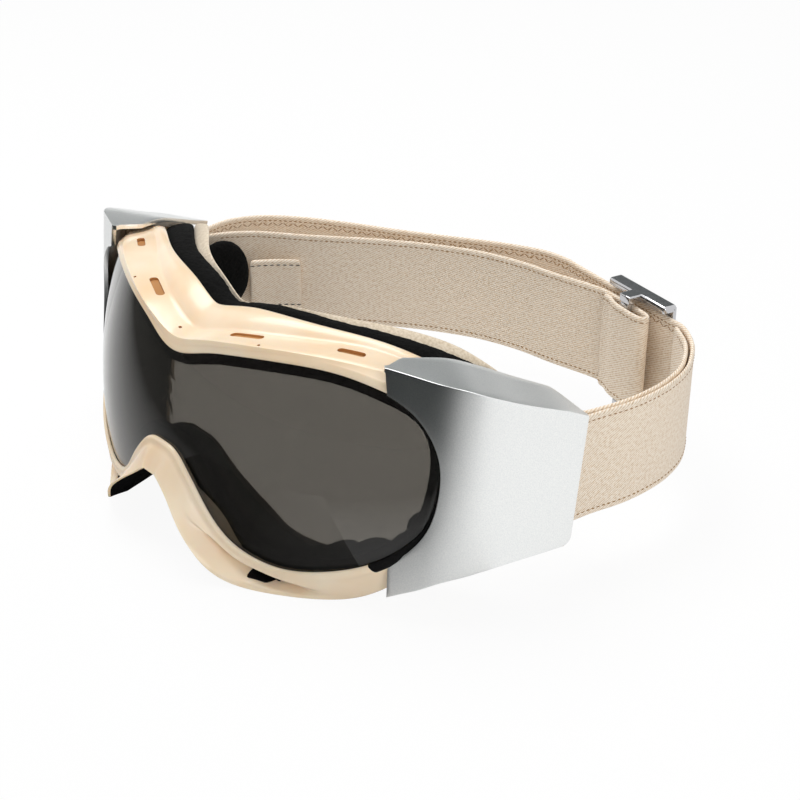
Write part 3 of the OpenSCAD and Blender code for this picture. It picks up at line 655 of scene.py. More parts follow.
class GOGGLES_OT_frame(bpy.types.Operator):
    """Moulded frame with its lip, nose hood, air scoops and brow slots"""

    bl_idname = "goggles.frame"
    bl_label = "Moulded frame"

    def execute(self, context):
        rings = [[LEANING @ p * MM for p in frame_section(s)] for s in stations(RINGS_PER_STEP)]
        bm = loft(rings, close_loop=True, creases=SECTION_CREASE)
        bmesh.ops.recalc_face_normals(bm, faces=bm.faces)
        blacken_wall_and_shade(bm)
        shell = piece("frame_shell", bm, "frame")
        # Second finish, black foam: the black wall behind the lens and the black painted shade
        shell.data.materials.append(finish_of("spacer"))
        smoothed(shell, 2)
        cutter = piece("frame_cuts", frame_cuts(), "frame_painted_shade", body=None)
        cutter.data.materials.append(finish_of("spacer"))
        cut = shell.modifiers.new("Slots and vents", "BOOLEAN")
        cut.object = cutter
        cut.operation = "DIFFERENCE"
        cut.solver = "EXACT"
        cut.material_mode = "TRANSFER"
        settle(shell)
        bpy.data.objects.remove(cutter)
        shell.data.set_sharp_from_angle(angle=math.radians(FRAME_SHARP))
        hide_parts("frame")
        return {"FINISHED"}


# The lenses


def lens_skin(name, node, front, back):
    """A closed lens: the barrel's front and back faces, filled from the opening's edge to a middle point."""
    ring = stations(6)
    steps = 16

    def face_at(s, depth, f):
        rim_x, rim_z = s[1] + LENS_BITE * s[3], s[2] + LENS_BITE * s[4]
        x, z = f * rim_x, lerp(-0.24 * LENS_DROP, rim_z, f)
        return LEANING @ Vector((x, RING_Y - math.sqrt((ring_r(z) - depth) ** 2 - x * x), z)) * MM

    shares = [1 - (1 - k / steps) ** 1.3 for k in range(steps + 1)]
    rings = [[face_at(s, front, f) for s in ring] for f in shares]
    rings += [[face_at(s, back, f) for s in ring] for f in reversed(shares)]
    bm = loft(list(map(list, zip(*rings))), close_ring=False, close_loop=True)
    bmesh.ops.recalc_face_normals(bm, faces=bm.faces)
    lens = piece(name, bm, node)
    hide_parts(node)
    lens.data.set_sharp_from_angle(angle=math.radians(LENS_SHARP))


class GOGGLES_OT_lenses(bpy.types.Operator):
    """Outer smoke lens and clear inner lens"""

    bl_idname = "goggles.lenses"
    bl_label = "Double lens"

    def execute(self, context):
        lens_skin("outer_lens", "lens_outer", 0.0, LENS_T)
        lens_skin("inner_lens", "lens_inner", STACK - INNER_T, STACK)
        return {"FINISHED"}


# Face foam, its lining and the temple pads


def wobble(place, size, seed):
    """Even noise from -1 to 1 at a place, for lumps of a given size in millimetres."""
    return noise.noise(Vector(place) / size + Vector((seed, 3.1 * seed, 7.7)))


def foam_line(u, lift):
    """Outward offset and depth of the frame's rear edge, and the depth of the foam that stands on it."""
    return along(REAR_O, u), BROW_D + along(REAR_B, u) + lift, FOAM_D + FOAM_SIDE * along(FOAM_K, u)


def foam_section(s):
    """Points round the foam, which also lines the frame's inner wall and has the uneven edge of cut foam."""
    u = s[0]
    o, b, d = foam_line(u, 0.2)
    low = smooth((-22 - s[2]) / 12) * smooth((14.4 - u) / 1.6)
    thin = 6.0 * smooth((u - 10.8) / 1.6) * smooth((14.6 - u) / 1.2)
    lumps = 6.5 * wobble((s[1], s[2], 0), 6.5, 2.0) + 2.6 * wobble((s[1], s[2], 5), 3.0, 4.0)
    wave = low * (1.6 + 2.4 * smooth(11.4 - u) + lumps) - thin
    drop = 7.5 * smooth((u - 13.6) / 1.8)
    outer, wall = o - 0.3, o - LAND_W - 0.1
    inner, front = outer - FOAM_W - wave, STACK + LENS_PLAY + LEDGE_T + 1.2
    return [
        spot(s, outer, b),
        spot(s, outer + 0.3 + 0.7 * drop, b + 0.45 * d),
        spot(s, outer - 0.5 + drop, b + 0.85 * d),
        spot(s, outer - 0.28 * FOAM_W + 0.8 * drop, b + d),
        spot(s, outer - 0.72 * FOAM_W, b + d),
        spot(s, inner + 0.5, b + 0.85 * d),
        spot(s, inner - 0.4, b + 0.45 * d),
        spot(s, inner - 0.6, b - 0.3),
        spot(s, min(-0.8, wall - 0.2) - 0.6 * wave, front + 1.0),
        spot(s, min(-0.2, wall + 1), front),
        spot(s, lerp(min(-0.3, wall), wall, 0.6) - 0.2, lerp(front, b, 0.6)),
        spot(s, wall - 0.1, b),
    ]


def lining_row(s):
    """Points across the lining, which lies on the foam's face side and hangs full at the brow."""
    u = s[0]
    o, b, d = foam_line(u, 0.25)
    full = smooth((u - 0.8) / 2.0) * smooth((5.0 - u) / 1.8)
    row = [(0.92, 0.1), (0.7, 0.5), (0.4, 0.6 + 0.8 * full), (0.24, 0.5 + 3.0 * full), (0.16, 0.2 + 5.5 * full)]
    return [LEANING @ spot(s, o - 0.3 - a * FOAM_W, b + d + h) * MM for a, h in row]


def fluff(made, height, seed):
    """Lifts a dense mesh into the small curls of fleece."""
    mesh = made.data
    bm = bmesh.new()
    bm.from_mesh(mesh)
    bm.normal_update()
    for vert in bm.verts:
        p = vert.co / MM
        lift = 0.7 * abs(wobble(p, 1.9, seed)) + 0.45 * abs(wobble(p, 1.0, seed + 2)) + 0.4 * wobble(p, 5.0, seed + 5)
        vert.co += vert.normal * (lift - 0.35) * height
    bm.to_mesh(mesh)
    bm.free()


class GOGGLES_OT_foam(bpy.types.Operator):
    """Fleece-covered face foam and the lining on its face side"""

    bl_idname = "goggles.foam"
    bl_label = "Face foam"

    def execute(self, context):
        looks = context.scene.goggles_looks
        rings = [[LEANING @ p * MM for p in foam_section(s)] for s in stations(2 * RINGS_PER_STEP)]
        bm = loft(rings, close_loop=True)
        bmesh.ops.recalc_face_normals(bm, faces=bm.faces)
        foam = piece("fleece_foam", bm, "fleece")
        settle(smoothed(foam, 2))
        fluff(foam, looks.fleece_lump, 1.0)
        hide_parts("face_foam")
        bm = loft([lining_row(s) for s in stations(RINGS_PER_STEP)], close_ring=False, close_loop=True)
        bmesh.ops.recalc_face_normals(bm, faces=bm.faces)
        lining = piece("foam_lining_strip", bm, "lining")
        wall = lining.modifiers.new("Thickness", "SOLIDIFY")
        wall.thickness = LINING_T * MM
        wall.offset = 0.0
        settle(smoothed(lining, 1))
        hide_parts("foam_lining")
        return {"FINISHED"}


def pad_shape(side):
    """A full lobe with a drawn-in edge, pressed from a ball."""
    centre = Vector((PAD_AT[0] * side, *PAD_AT[1:]))
    bm = bmesh.new()
    lying = Matrix.Rotation(math.radians(90), 4, "Y")
    bmesh.ops.create_uvsphere(bm, u_segments=48, v_segments=24, radius=1.0, matrix=lying)
    for vert in bm.verts:
        p = vert.co.copy()
        flat = math.sqrt(p.y**2 + p.z**2)
        bulge = math.copysign(abs(p.x) ** 0.9, p.x) * PAD_T / 2
        spread = flat**0.7 if flat > 1e-6 else 0.0
        ring = Vector((0, p.y, p.z)).normalized() if flat > 1e-6 else Vector()
        vert.co = LEVEL @ (centre + Vector((bulge, ring.y * spread * PAD_L / 2, ring.z * spread * PAD_H / 2))) * MM
    bmesh.ops.recalc_face_normals(bm, faces=bm.faces)
    return bm


class GOGGLES_OT_pads(bpy.types.Operator):
    """Fleece-covered lobes at the temples"""

    bl_idname = "goggles.pads"
    bl_label = "Temple pads"

    def execute(self, context):
        looks = context.scene.goggles_looks
        for side, word in ((1, "left"), (-1, "right")):
            pad = piece(f"temple_lobe_{word}", pad_shape(side), "fleece")
            settle(smoothed(pad, 1))
            fluff(pad, looks.fleece_lump, 3.0 + side)
            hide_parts(f"temple_pad_{word}")
        return {"FINISHED"}


# The metal side plates

# Shares of the chord, with the bulge of the plan, the fall of the top edge and the rise of the lower edge there
PLAN_K = [
    (0, 0), (0.114, 0.44), (0.25, 0.9), (0.394, 1), (0.535, 0.89), (0.7, 0.635), (0.866, 0.333), (1.02, -0.04),
]  # fmt: skip
TOP_K = [(0, 0), (0.1, 0.01), (0.31, 0.08), (0.48, 0.28), (0.66, 0.52), (0.855, 0.76), (1, 1)]
LOW_K = [(0.086, 0), (0.19, 0.31), (0.3, 0.59), (0.446, 0.76), (0.6, 0.87), (0.82, 0.97), (0.99, 1)]

# Inner edge of the top flange, chord length and distance in from the chord, and its least width
FLANGE_LINE = [
    (0.0, 0.4), (0.1 * PLATE_L, FLANGE_FRONT * FLANGE_W), (0.855 * PLATE_L, FLANGE_W), (PLATE_L - 0.4, 1.5),
]  # fmt: skip
FLANGE_LEAST = 1.7

TOP_POINTS, REAR_POINTS, LOW_POINTS, SHEET_ROWS, FLANGE_ROWS = 40, 16, 34, 12, 7


def read_curve(points, t):
    """A smooth curve through points, read at a place counted in points."""
    i = min(len(points) - 2, max(0, int(math.floor(t))))
    four = [points[max(0, min(len(points) - 1, i + k))] for k in (-1, 0, 1, 2)]
    return tuple(curve(*[p[k] for p in four], t - i) for k in range(len(points[0])))


def share_where(measure, wanted, high):
    """The place from 0 to high at which a rising measure reaches what is wanted."""
    low = 0.0
    for _ in range(HALVINGS):
        middle = (low + high) / 2
        if measure(middle) < wanted:
            low = middle
        else:
            high = middle
    return (low + high) / 2


def plan(t):
    """The plate seen from above: place along its chord and bulge outward from it."""
    s, y = read_curve(PLAN_K, t)
    return s * PLATE_L, -y * PLATE_BULGE


def plan_y(s):
    """Bulge of the plate at a chord length."""
    return plan(share_where(lambda t: plan(t)[0], s, 7.0))[1]


def evenly(points, count):
    """The same broken line with its points evenly spaced, ends kept."""
    lengths = [0.0]
    for a, b in zip(points, points[1:]):
        lengths.append(lengths[-1] + math.dist(a, b))
    found = []
    j = 0
    for k in range(count):
        want = lengths[-1] * k / (count - 1)
        while j < len(points) - 2 and lengths[j + 1] < want:
            j += 1
        span = lengths[j + 1] - lengths[j]
        t = 0 if span == 0 else (want - lengths[j]) / span
        found.append(tuple(lerp(a, b, t) for a, b in zip(points[j], points[j + 1])))
    return found


def cut_edge():
    """The plate's front edge, which follows the lens opening: chord length and height."""
    turn, lean = math.radians(PLATE_TURN), math.radians(-PLATE_LEAN)

    def sideways(t):
        a, y = plan(t)
        return PLATE_X + math.cos(turn) * a - math.sin(turn) * y

    found = []
    for j in range(40, 101):
        s = station(j / 10)
        x, z = s[1] + along(RIM_GAP, s[0]) * s[3], s[2] + along(RIM_GAP, s[0]) * s[4]
        a, y = plan(share_where(sideways, x, 2.6))
        depth = PLATE_Y + math.sin(turn) * a + math.cos(turn) * y
        height = (z - depth * math.sin(lean)) / math.cos(lean)
        front = LOW_K[0][0] * PLATE_L * (PLATE_TOP - height) / (PLATE_TOP - PLATE_LOW)
        if a > front:
            found.append((a, height))
    return found


def plate_outline():
    """The plate's outer edge: along the top, down the rear, round its lower corner and back along the bottom."""
    top = [read_curve(TOP_K, k / 6) for k in range(37)]
    low = [read_curve(LOW_K, k / 6) for k in range(33, -1, -1)]
    x, z = LOW_K[-1][0] * PLATE_L + 0.2 - PLATE_CORNER, PLATE_REAR_LOW + PLATE_CORNER
    turns = [k * math.pi / 16 for k in range(9)]
    return (
        [(s * PLATE_L, lerp(PLATE_TOP, PLATE_REAR_TOP, f)) for s, f in top],
        [(x + PLATE_CORNER * math.cos(a), z - PLATE_CORNER * math.sin(a)) for a in turns],
        [(s * PLATE_L, lerp(PLATE_LOW, PLATE_REAR_LOW, f)) for s, f in low],
    )


def flange_edge(s):
    """How far the top flange reaches in from the chord at a chord length."""
    a, b = next(two for two in zip(FLANGE_LINE, FLANGE_LINE[1:]) if s < two[1][0] or two[1] == FLANGE_LINE[-1])
    swell = FLANGE_SWELL * smooth((s / PLATE_L - 0.05) / 0.5) * smooth((1 - s / PLATE_L) / 0.14)
    return lerp(a[1], b[1], (s - a[0]) / (b[0] - a[0])) + swell


def fold_flange(bm, top):
    """Extrudes the sheet's top edge row by row into the flange that is turned in toward the head."""
    place = bm.verts.layers.float_vector["row_column"]
    line = sorted((v for v in bm.verts if v[place][0] == 0 and v[place][1] < len(top)), key=lambda v: v[place][1])
    edges = [e for e in bm.edges if e.verts[0] in line and e.verts[1] in line]
    ends = [(plan_y(s), max(flange_edge(s), plan_y(s) + FLANGE_LEAST)) for s, _ in top]
    for k in range(1, FLANGE_ROWS + 1):
        made = bmesh.ops.extrude_edge_only(bm, edges=edges)["geom"]
        fresh = {g for g in made if isinstance(g, bmesh.types.BMVert)}
        line = [next(e.other_vert(v) for e in v.link_edges if e.other_vert(v) in fresh) for v in line]
        for vert, (s, z), (outside, inside) in zip(line, top, ends):
            vert.co = ON_CHORD @ Vector((s, lerp(outside, inside, k / FLANGE_ROWS), z)) * MM
        edges = [g for g in made if isinstance(g, bmesh.types.BMEdge) and all(v in fresh for v in g.verts)]


def side_plate(side, word):
    """A bent sheet from the front cut to the outer edge, with its top flange."""
    top, arc, low = plate_outline()
    outer = evenly(top, TOP_POINTS)
    outer += evenly([top[-1], arc[0]], REAR_POINTS)[1:]
    outer += arc[1:]
    outer += evenly([arc[-1], *low], LOW_POINTS)[1:]
    inner = evenly(cut_edge(), len(outer))
    sheet = []
    for k in range(SHEET_ROWS + 1):
        flat = [(lerp(a[0], b[0], k / SHEET_ROWS), lerp(a[1], b[1], k / SHEET_ROWS)) for a, b in zip(outer, inner)]
        sheet.append([ON_CHORD @ Vector((s, plan_y(s), z)) * MM for s, z in flat])
    bm = loft(sheet, close_ring=False)
    fold_flange(bm, outer[:TOP_POINTS])
    bmesh.ops.remove_doubles(bm, verts=bm.verts, dist=2e-6)
    fold = [e for e in bm.edges if e.is_manifold and e.calc_face_angle() > math.radians(50)]
    bmesh.ops.bevel(
        bm, geom=fold, offset=PLATE_FOLD * MM, affect="EDGES", segments=4, profile=0.5, material=-1, clamp_overlap=True
    )
    bmesh.ops.remove_doubles(bm, verts=bm.verts, dist=0.03 * MM)
    bmesh.ops.recalc_face_normals(bm, faces=bm.faces)

    # The sheet is open, so its faces are turned outward by the one at its middle
    head = ON_CHORD @ Vector((0.4 * PLATE_L, 30.0, -20.0)) * MM
    middle = ON_CHORD @ Vector((0.5 * PLATE_L, plan_y(0.5 * PLATE_L), -25.0)) * MM
    probe = min(bm.faces, key=lambda f: (f.calc_center_median() - middle).length)
    if probe.normal.dot(head - probe.calc_center_median()) > 0:
        bmesh.ops.reverse_faces(bm, faces=bm.faces)
    if side < 0:
        bmesh.ops.transform(bm, matrix=MIRRORED, verts=bm.verts)
        bmesh.ops.reverse_faces(bm, faces=bm.faces)
    plate = piece(f"metal_plate_{word}", bm, "plate")
    wall = plate.modifiers.new("Sheet", "SOLIDIFY")
    wall.thickness = PLATE_T * MM
    wall.offset = -1.0
    edge = plate.modifiers.new("Edges", "BEVEL")
    edge.width = bpy.context.scene.goggles_looks.lip_round
    edge.segments = 3
    edge.angle_limit = math.radians(PLATE_SHARP)
    edge.limit_method = "ANGLE"
    settle(plate)
    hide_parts(f"side_plate_{word}")


class GOGGLES_OT_plates(bpy.types.Operator):
    """Bent metal side plates with their top flanges"""

    bl_idname = "goggles.plates"
    bl_label = "Side plates"

    def execute(self, context):
        for side, word in ((1, "left"), (-1, "right")):
            side_plate(side, word)
        return {"FINISHED"}


# The woven strap

# The webbing's middle line turns round a pin at this radius
PIN_R = PIN_D / 2 + STRAP_T / 2 + 0.15

# The straight stretch at the back, seen from above, and the place on it where the adjuster rests
RUN_A, RUN_B = Vector((81, 156.85)), Vector((14, 169.75))
RUN_DIR = (RUN_B - RUN_A).normalized()
RUN_IN = Vector((-RUN_DIR.y, RUN_DIR.x))
SLIDE_AT = RUN_A + 23.4 * RUN_DIR

# Points of the route seen from above: the sewn tail, the outer run at the near and far side, and the run back
TAIL = [
    (79, 155), (88, 148.9), (94, 142.4), (100, 132.7), (103.2, 121.6), (104.1, 111), (103.5, 100), (101, 88),
    (98, 79.6),
]  # fmt: skip
NEAR = [
    (102.4, 80), (103.4, 88), (105.8, 100), (106.4, 111), (105.4, 122), (102, 133.5), (95.8, 143.8), (89.6, 150.8),
]  # fmt: skip
FAR = [
    (2, 168.9), (-14, 162), (-32, 151.5), (-50, 141), (-69, 131), (-87, 120), (-99, 109), (-104.4, 97),
    (-103.8, 87), (-102.4, 80),
]  # fmt: skip
BACK_LAY = [
    (-97.0, 79.5), (-93.5, 88.5), (-86, 98), (-73, 108), (-61, 118), (-48, 128.8), (-32, 140), (-14, 149.5),
    (4, 154.5), (20, 156.2),
]  # fmt: skip

# The adjuster's bar, and how far in from the band the webbing lies on either side of it
BAR_W, BAR_T = 4.4, 2.4
BAR_Y = STRAP_T * 1.5 + 1.3 + BAR_T / 2 + 2
LAY_IN = BAR_Y - BAR_T / 2 - STRAP_T / 2 - 0.15
LAY_OUT = BAR_Y + BAR_T / 2 + STRAP_T / 2 + 0.15

# Distances of the stitch rows from the webbing's edge
STITCH_IN, ZIGZAG_IN, ZIGZAG_OUT, TAB_STITCH_IN = 2.3, 4.7, 3.0, 2.4


def pin_loop(side):
    """Half a turn of the webbing round a pin."""
    turns = [math.pi * (1 + k / 4) for k in range(5)]
    return [(side * PIN_X + side * PIN_R * math.cos(a), PIN_Y + PIN_R * math.sin(a)) for a in turns]


def on_run(u, v):
    """A place on the strap's straight back, u along it from the adjuster and v in toward the head."""
    return tuple(SLIDE_AT + u * RUN_DIR + v * RUN_IN)


def band_route():
    """The webbing from its sewn tail round the near pin, along the back and round the far pin."""
    straight = [RUN_A, RUN_A + 7.1 * RUN_DIR, (RUN_A + RUN_B) / 2, RUN_B - 6.1 * RUN_DIR, RUN_B]
    return [
        *TAIL,
        (PIN_X - PIN_R + 0.4, PIN_Y + 4.6),
        (PIN_X - PIN_R, PIN_Y + 2.1),
        *pin_loop(1),
        (PIN_X + PIN_R, PIN_Y + 2.1),
        (PIN_X + PIN_R + 0.3, PIN_Y + 4.6),
        *NEAR,
        *[tuple(p) for p in straight],
        *FAR,
        (-PIN_X - PIN_R - 0.3, PIN_Y + 4.6),
        (-PIN_X - PIN_R, PIN_Y + 2.1),
        *reversed(pin_loop(-1)),
    ]


def back_route():
    """The webbing that comes back from the far pin and folds round the adjuster's bar."""
    tucked = LAY_IN + STRAP_T + 0.6
    fold = [
        (18, LAY_IN + 0.9), (9, LAY_IN), (0, LAY_IN), (-9, LAY_IN + 0.2), (-12, (LAY_IN + LAY_OUT) / 2),
        (-9, LAY_OUT), (0, LAY_OUT), (5, LAY_OUT - 0.6), (9, tucked), (13, tucked),
    ]  # fmt: skip
    return [(-PIN_X + PIN_R, PIN_Y + 0.5), *BACK_LAY, *[on_run(u, v) for u, v in fold]]


def trace(route, pitch):
    """Points along a route about a pitch apart: place, sideways direction and length from the start."""
    fine = [Vector(read_curve(route, i + j / 12)) for i in range(len(route) - 1) for j in range(12)]
    fine.append(Vector(route[-1]))
    whole = sum((a - b).length for a, b in zip(fine, fine[1:]))
    even = [Vector(p) for p in evenly([tuple(p) for p in fine], max(3, int(whole / pitch)))]
    found, length = [], 0.0
    for k, p in enumerate(even):
        before, after = even[max(0, k - 1)], even[min(len(even) - 1, k + 1)]
        step = (after - before).normalized()
        if k:
            length += (p - even[k - 1]).length
        found.append((p, Vector((-step.y, step.x)), length))
    return found


def beside(row, off, z):
    """A place in metres beside a traced route, off to its side and at a height."""
    p, across, _ = row
    return LEVEL @ Vector((p.x + across.x * off, p.y + across.y * off, z)) * MM


def webbing(name, route, width, thick, low, body=GOGGLES):
    """A woven band on its edge along a route in plan, with a rolled hem at both rims and an even UV lay."""
    hem = bpy.context.scene.goggles_looks.webbing_hem / MM
    half = thick / 2
    thin = half * 0.74
    rim = [
        (0.0, 0.0), (0.18 * hem, 0.62 * half), (0.45 * hem, half), (0.8 * hem, 0.92 * half),
        (1.08 * hem, thin), (2.2 * hem, thin * 1.04),
    ]  # fmt: skip
    middle = [(width * f, thin * 1.04) for f in (0.3, 0.5, 0.7)]
    outer = rim + middle + [(width - a, b) for a, b in reversed(rim)]
    section = outer + [(a, -b) for a, b in reversed(outer[1:-1])]
    rows = trace(route, 1.5)

    def lay(row, column):
        up = section[column % len(section)][0]
        return rows[row][2] * MM, (up if column < len(outer) else 2 * width - up) * MM

    bm = capped(loft([[beside(row, n, low + z) for z, n in section] for row in rows], lay=lay))
    bmesh.ops.recalc_face_normals(bm, faces=bm.faces)
    return settle(smoothed(piece(name, bm, "webbing", body), 1))


def stitch_row(bm, points, long, wide):
    """Adds stitches from point to point, each a small rounded length of thread sunk halfway in the cloth."""
    one = bmesh.new()
    lying = Matrix.Rotation(math.radians(90), 4, "Y")
    bmesh.ops.create_uvsphere(one, u_segments=6, v_segments=5, radius=1.0, matrix=lying)
    stitch = bpy.data.meshes.new("stitch")
    one.to_mesh(stitch)
    one.free()
    for a, b in zip(points, points[1:]):
        step = b - a
        if step.length < 1e-6:
            continue
        turn = step.to_track_quat("X", "Z").to_matrix().to_4x4()
        size = Matrix.Diagonal((step.length * long / 2, wide / 2, wide / 2, 1.0))
        placed = Matrix.Translation((a + b) / 2) @ turn @ size
        stitch.transform(placed)
        bm.from_mesh(stitch)
        stitch.transform(placed.inverted())
    bpy.data.meshes.remove(stitch)


def stitched_band(name, route, low, thick, heights, zigzags=(), start=0, finish="thread"):
    """Straight stitch rows on both faces of a band from a length of its route on, and zigzag rows on its outer face."""
    pitch = bpy.context.scene.goggles_looks.stitch_pitch / MM
    bm = bmesh.new()
    rows = [row for row in trace(route, pitch) if row[2] >= start]
    for face in (1, -1):
        off = face * thick * 0.37
        for z in heights:
            stitch_row(bm, [beside(row, off, low + z) for row in rows], 0.7, 0.0005)
        for z0, z1 in zigzags if face > 0 else ():
            chain = [beside(row, off, low + (z0 if k % 2 else z1)) for k, row in enumerate(rows)]
            stitch_row(bm, chain, 0.9, 0.0004)
    return piece(name, bm, finish)


class GOGGLES_OT_strap(bpy.types.Operator):
    """Woven head strap in two runs, with rolled hems and its stitching"""

    bl_idname = "goggles.strap"
    bl_label = "Head strap"

    def execute(self, context):
        low = STRAP_TOP - STRAP_W
        band = webbing("webbing_band", band_route(), STRAP_W, STRAP_T, low)
        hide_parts("strap_band")
        back = webbing("webbing_return", back_route(), STRAP_W, STRAP_T, low, body=None)
        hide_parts("strap_return")
        hems = (STITCH_IN, STRAP_W - STITCH_IN)
        zigzags = ((ZIGZAG_OUT, ZIGZAG_IN), (STRAP_W - ZIGZAG_IN, STRAP_W - ZIGZAG_OUT))
        stitched_band("band_stitches", band_route(), low, STRAP_T, hems, zigzags, start=4)
        back_stitches = stitched_band("return_stitches", back_route(), low, STRAP_T, hems, start=12)
        back_stitches.parent = None
        for made in (back, back_stitches):
            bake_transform(made)
        return {"FINISHED"}


# The adjuster

SLIDER_L, RAIL_H, RAIL_D, POST_W, POST_T, SLIDER_PLAY, RAIL_GAP = 32.0, 3.2, 6.0, 4.0, 2.0, 0.8, 0.4
RAIL_R, POST_R, BAR_R = 1.2, 0.6, 0.7
OUT_Y = -STRAP_T / 2 - RAIL_GAP - POST_T
RAIL_HIGH, RAIL_LOW = STRAP_TOP + SLIDER_PLAY, STRAP_TOP - STRAP_W - SLIDER_PLAY - RAIL_H
ON_SLIDER = (
    LEVEL
    @ Matrix.Translation((SLIDE_AT.x, SLIDE_AT.y, 0))
    @ Matrix.Rotation(math.atan2(RUN_DIR.y, RUN_DIR.x), 4, "Z")
)


def rounded_box(bm, low, high, radius):
    """Adds a box between two corners with every edge rounded, in the adjuster's own place."""
    fresh = bmesh.ops.create_cube(bm, size=1.0)["verts"]
    size = [b - a for a, b in zip(low, high)]
    middle = [(a + b) / 2 for a, b in zip(low, high)]
    for vert in fresh:
        vert.co = Vector([m + c * d for m, c, d in zip(middle, vert.co, size)])
    edges = list({e for v in fresh for e in v.link_edges})
    bmesh.ops.bevel(bm, geom=edges, offset=radius, affect="EDGES", segments=4, profile=0.5, material=-1)


def chrome_piece(name, bm, node):
    """Puts a chromed casting in its place on the strap."""
    bmesh.ops.transform(bm, matrix=TO_METRES @ ON_SLIDER, verts=bm.verts)
    made = piece(name, bm, "chrome", body=SLIDER)
    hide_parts(node)
    made.data.set_sharp_from_angle(angle=math.radians(CHROME_SHARP))


class GOGGLES_OT_adjuster(bpy.types.Operator):
    """Chromed strap adjuster: two rails, two posts and the bar that holds the fold"""

    bl_idname = "goggles.adjuster"
    bl_label = "Strap adjuster"

    def execute(self, context):
        bm = bmesh.new()
        lug_y, bar_end = OUT_Y + RAIL_D - 1.5, BAR_Y + BAR_T / 2
        for z in (RAIL_HIGH, RAIL_LOW):
            top = z + RAIL_H
            rounded_box(bm, (-SLIDER_L / 2, OUT_Y, z), (SLIDER_L / 2, OUT_Y + RAIL_D, top), RAIL_R)
            rounded_box(bm, (-BAR_W / 2 - 0.6, lug_y, z), (BAR_W / 2 + 0.6, bar_end, top), POST_R)
        for k in (-1, 1):
            x = k * (SLIDER_L - POST_W) / 2
            top = RAIL_HIGH + RAIL_H - 0.8
            rounded_box(bm, (x - POST_W / 2, OUT_Y, RAIL_LOW + 0.8), (x + POST_W / 2, OUT_Y + POST_T, top), POST_R)
        chrome_piece("chrome_adjuster", bm, "slider_frame")
        bm = bmesh.new()
        foot = (-BAR_W / 2, BAR_Y - BAR_T / 2, RAIL_LOW + RAIL_H - 0.6)
        rounded_box(bm, foot, (BAR_W / 2, bar_end, RAIL_HIGH + 0.6), BAR_R)
        chrome_piece("chrome_bar", bm, "slider_bar")
        return {"FINISHED"}


# Tabs behind the temple pads

TAB_H, TAB_T, TAB_LOW = 22.0, 2.0, -44.0
TAB_FAR = [(-84, 90.6), (-78.5, 99.2), (-71.2, 106.9)]
TAB_NEAR = [(86.5, 90.8), (95.5, 96.5), (101.5, 105.6)]


class GOGGLES_OT_tabs(bpy.types.Operator):
    """Stitched webbing tabs between the temple pads and the strap"""

    bl_idname = "goggles.tabs"
    bl_label = "Pad tabs"

    def execute(self, context):
        rows = (TAB_STITCH_IN, TAB_H - TAB_STITCH_IN)
        for route, word in ((TAB_NEAR, "left"), (TAB_FAR, "right")):
            tab = webbing(f"stitched_tab_{word}", route, TAB_H, TAB_T, TAB_LOW)
            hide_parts(f"pad_tab_{word}")
            stitched_band(f"tab_stitches_{word}", route, TAB_LOW, TAB_T, rows, finish="black_thread")
        return {"FINISHED"}


class GOGGLES_OT_small_parts(bpy.types.Operator):
    """Finishes of the pieces whose CAD shape is kept: spacer foam, arms, pins and vent filters"""

    bl_idname = "goggles.small_parts"
    bl_label = "Arms, pins and filters"

    def execute(self, context):
        kept = {
            "lens_spacer": "spacer",
            "side_arm_left": "arm",
            "side_arm_right": "arm",
            "strap_pin_left": "pin",
            "strap_pin_right": "pin",
            "vent_filter_left": "spacer",
            "vent_filter_right": "spacer",
        }
        for node, finish in kept.items():
            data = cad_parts[node].data
            data.materials.clear()
            data.materials.append(finish_of(finish))
        return {"FINISHED"}


# Floor, lights and camera

CAMERA_AT = HOME + Vector((382.7, -242.2, 224.4))
CAMERA_TARGET = HOME + Vector((53.64, 49.00, -14.19))
CAMERA_LENS, CAMERA_SENSOR = 70.1, 36.0
STUDIO_MIDDLE = HOME * MM + Vector((0.02, 0.05, -0.02))
WORLD_LIGHT, FLOOR_WHITE, FLOOR_SIZE = 0.38, 0.93, 1.5

# Cards outside the picture: place, size, what they face, colour, and the place, length, axis and tone of their fading
FRONT_FADE, LENS_FADE = (-0.035, 0.14, "Y", "#FBFBFB"), (0.079, 0.05, "X", "#7A7A7A")
CARDS = {
    "front_card": ((0.3, -0.565, 0.001), (2.6, 1.07), (0.3, -0.565, 1.0), "#303333", FRONT_FADE),
    "lens_card": ((0.017, -0.118, 0.002), (0.124, 0.116), (0.017, -0.118, 1.0), "#1E2020", LENS_FADE),
    "wall_card": ((0.3, -1.1, 0.7), (4.0, 1.6), (0.3, 0.0, 0.7), "#050505", None),
    "back_card": ((-0.62, 0.62, 0.55), (1.1, 0.9), STUDIO_MIDDLE, "#8C9090", None),
}


def flat_sheet(name, size, matrix=Matrix()):
    """A flat square in the scene that isn't part of the goggles."""
    bm = bmesh.new()
    bmesh.ops.create_grid(bm, x_segments=1, y_segments=1, size=size, matrix=matrix)
    mesh = bpy.data.meshes.new(name)
    bm.to_mesh(mesh)
    bm.free()
    made = bpy.data.objects.new(name, mesh)
    bpy.context.scene.collection.objects.link(made)
    return made


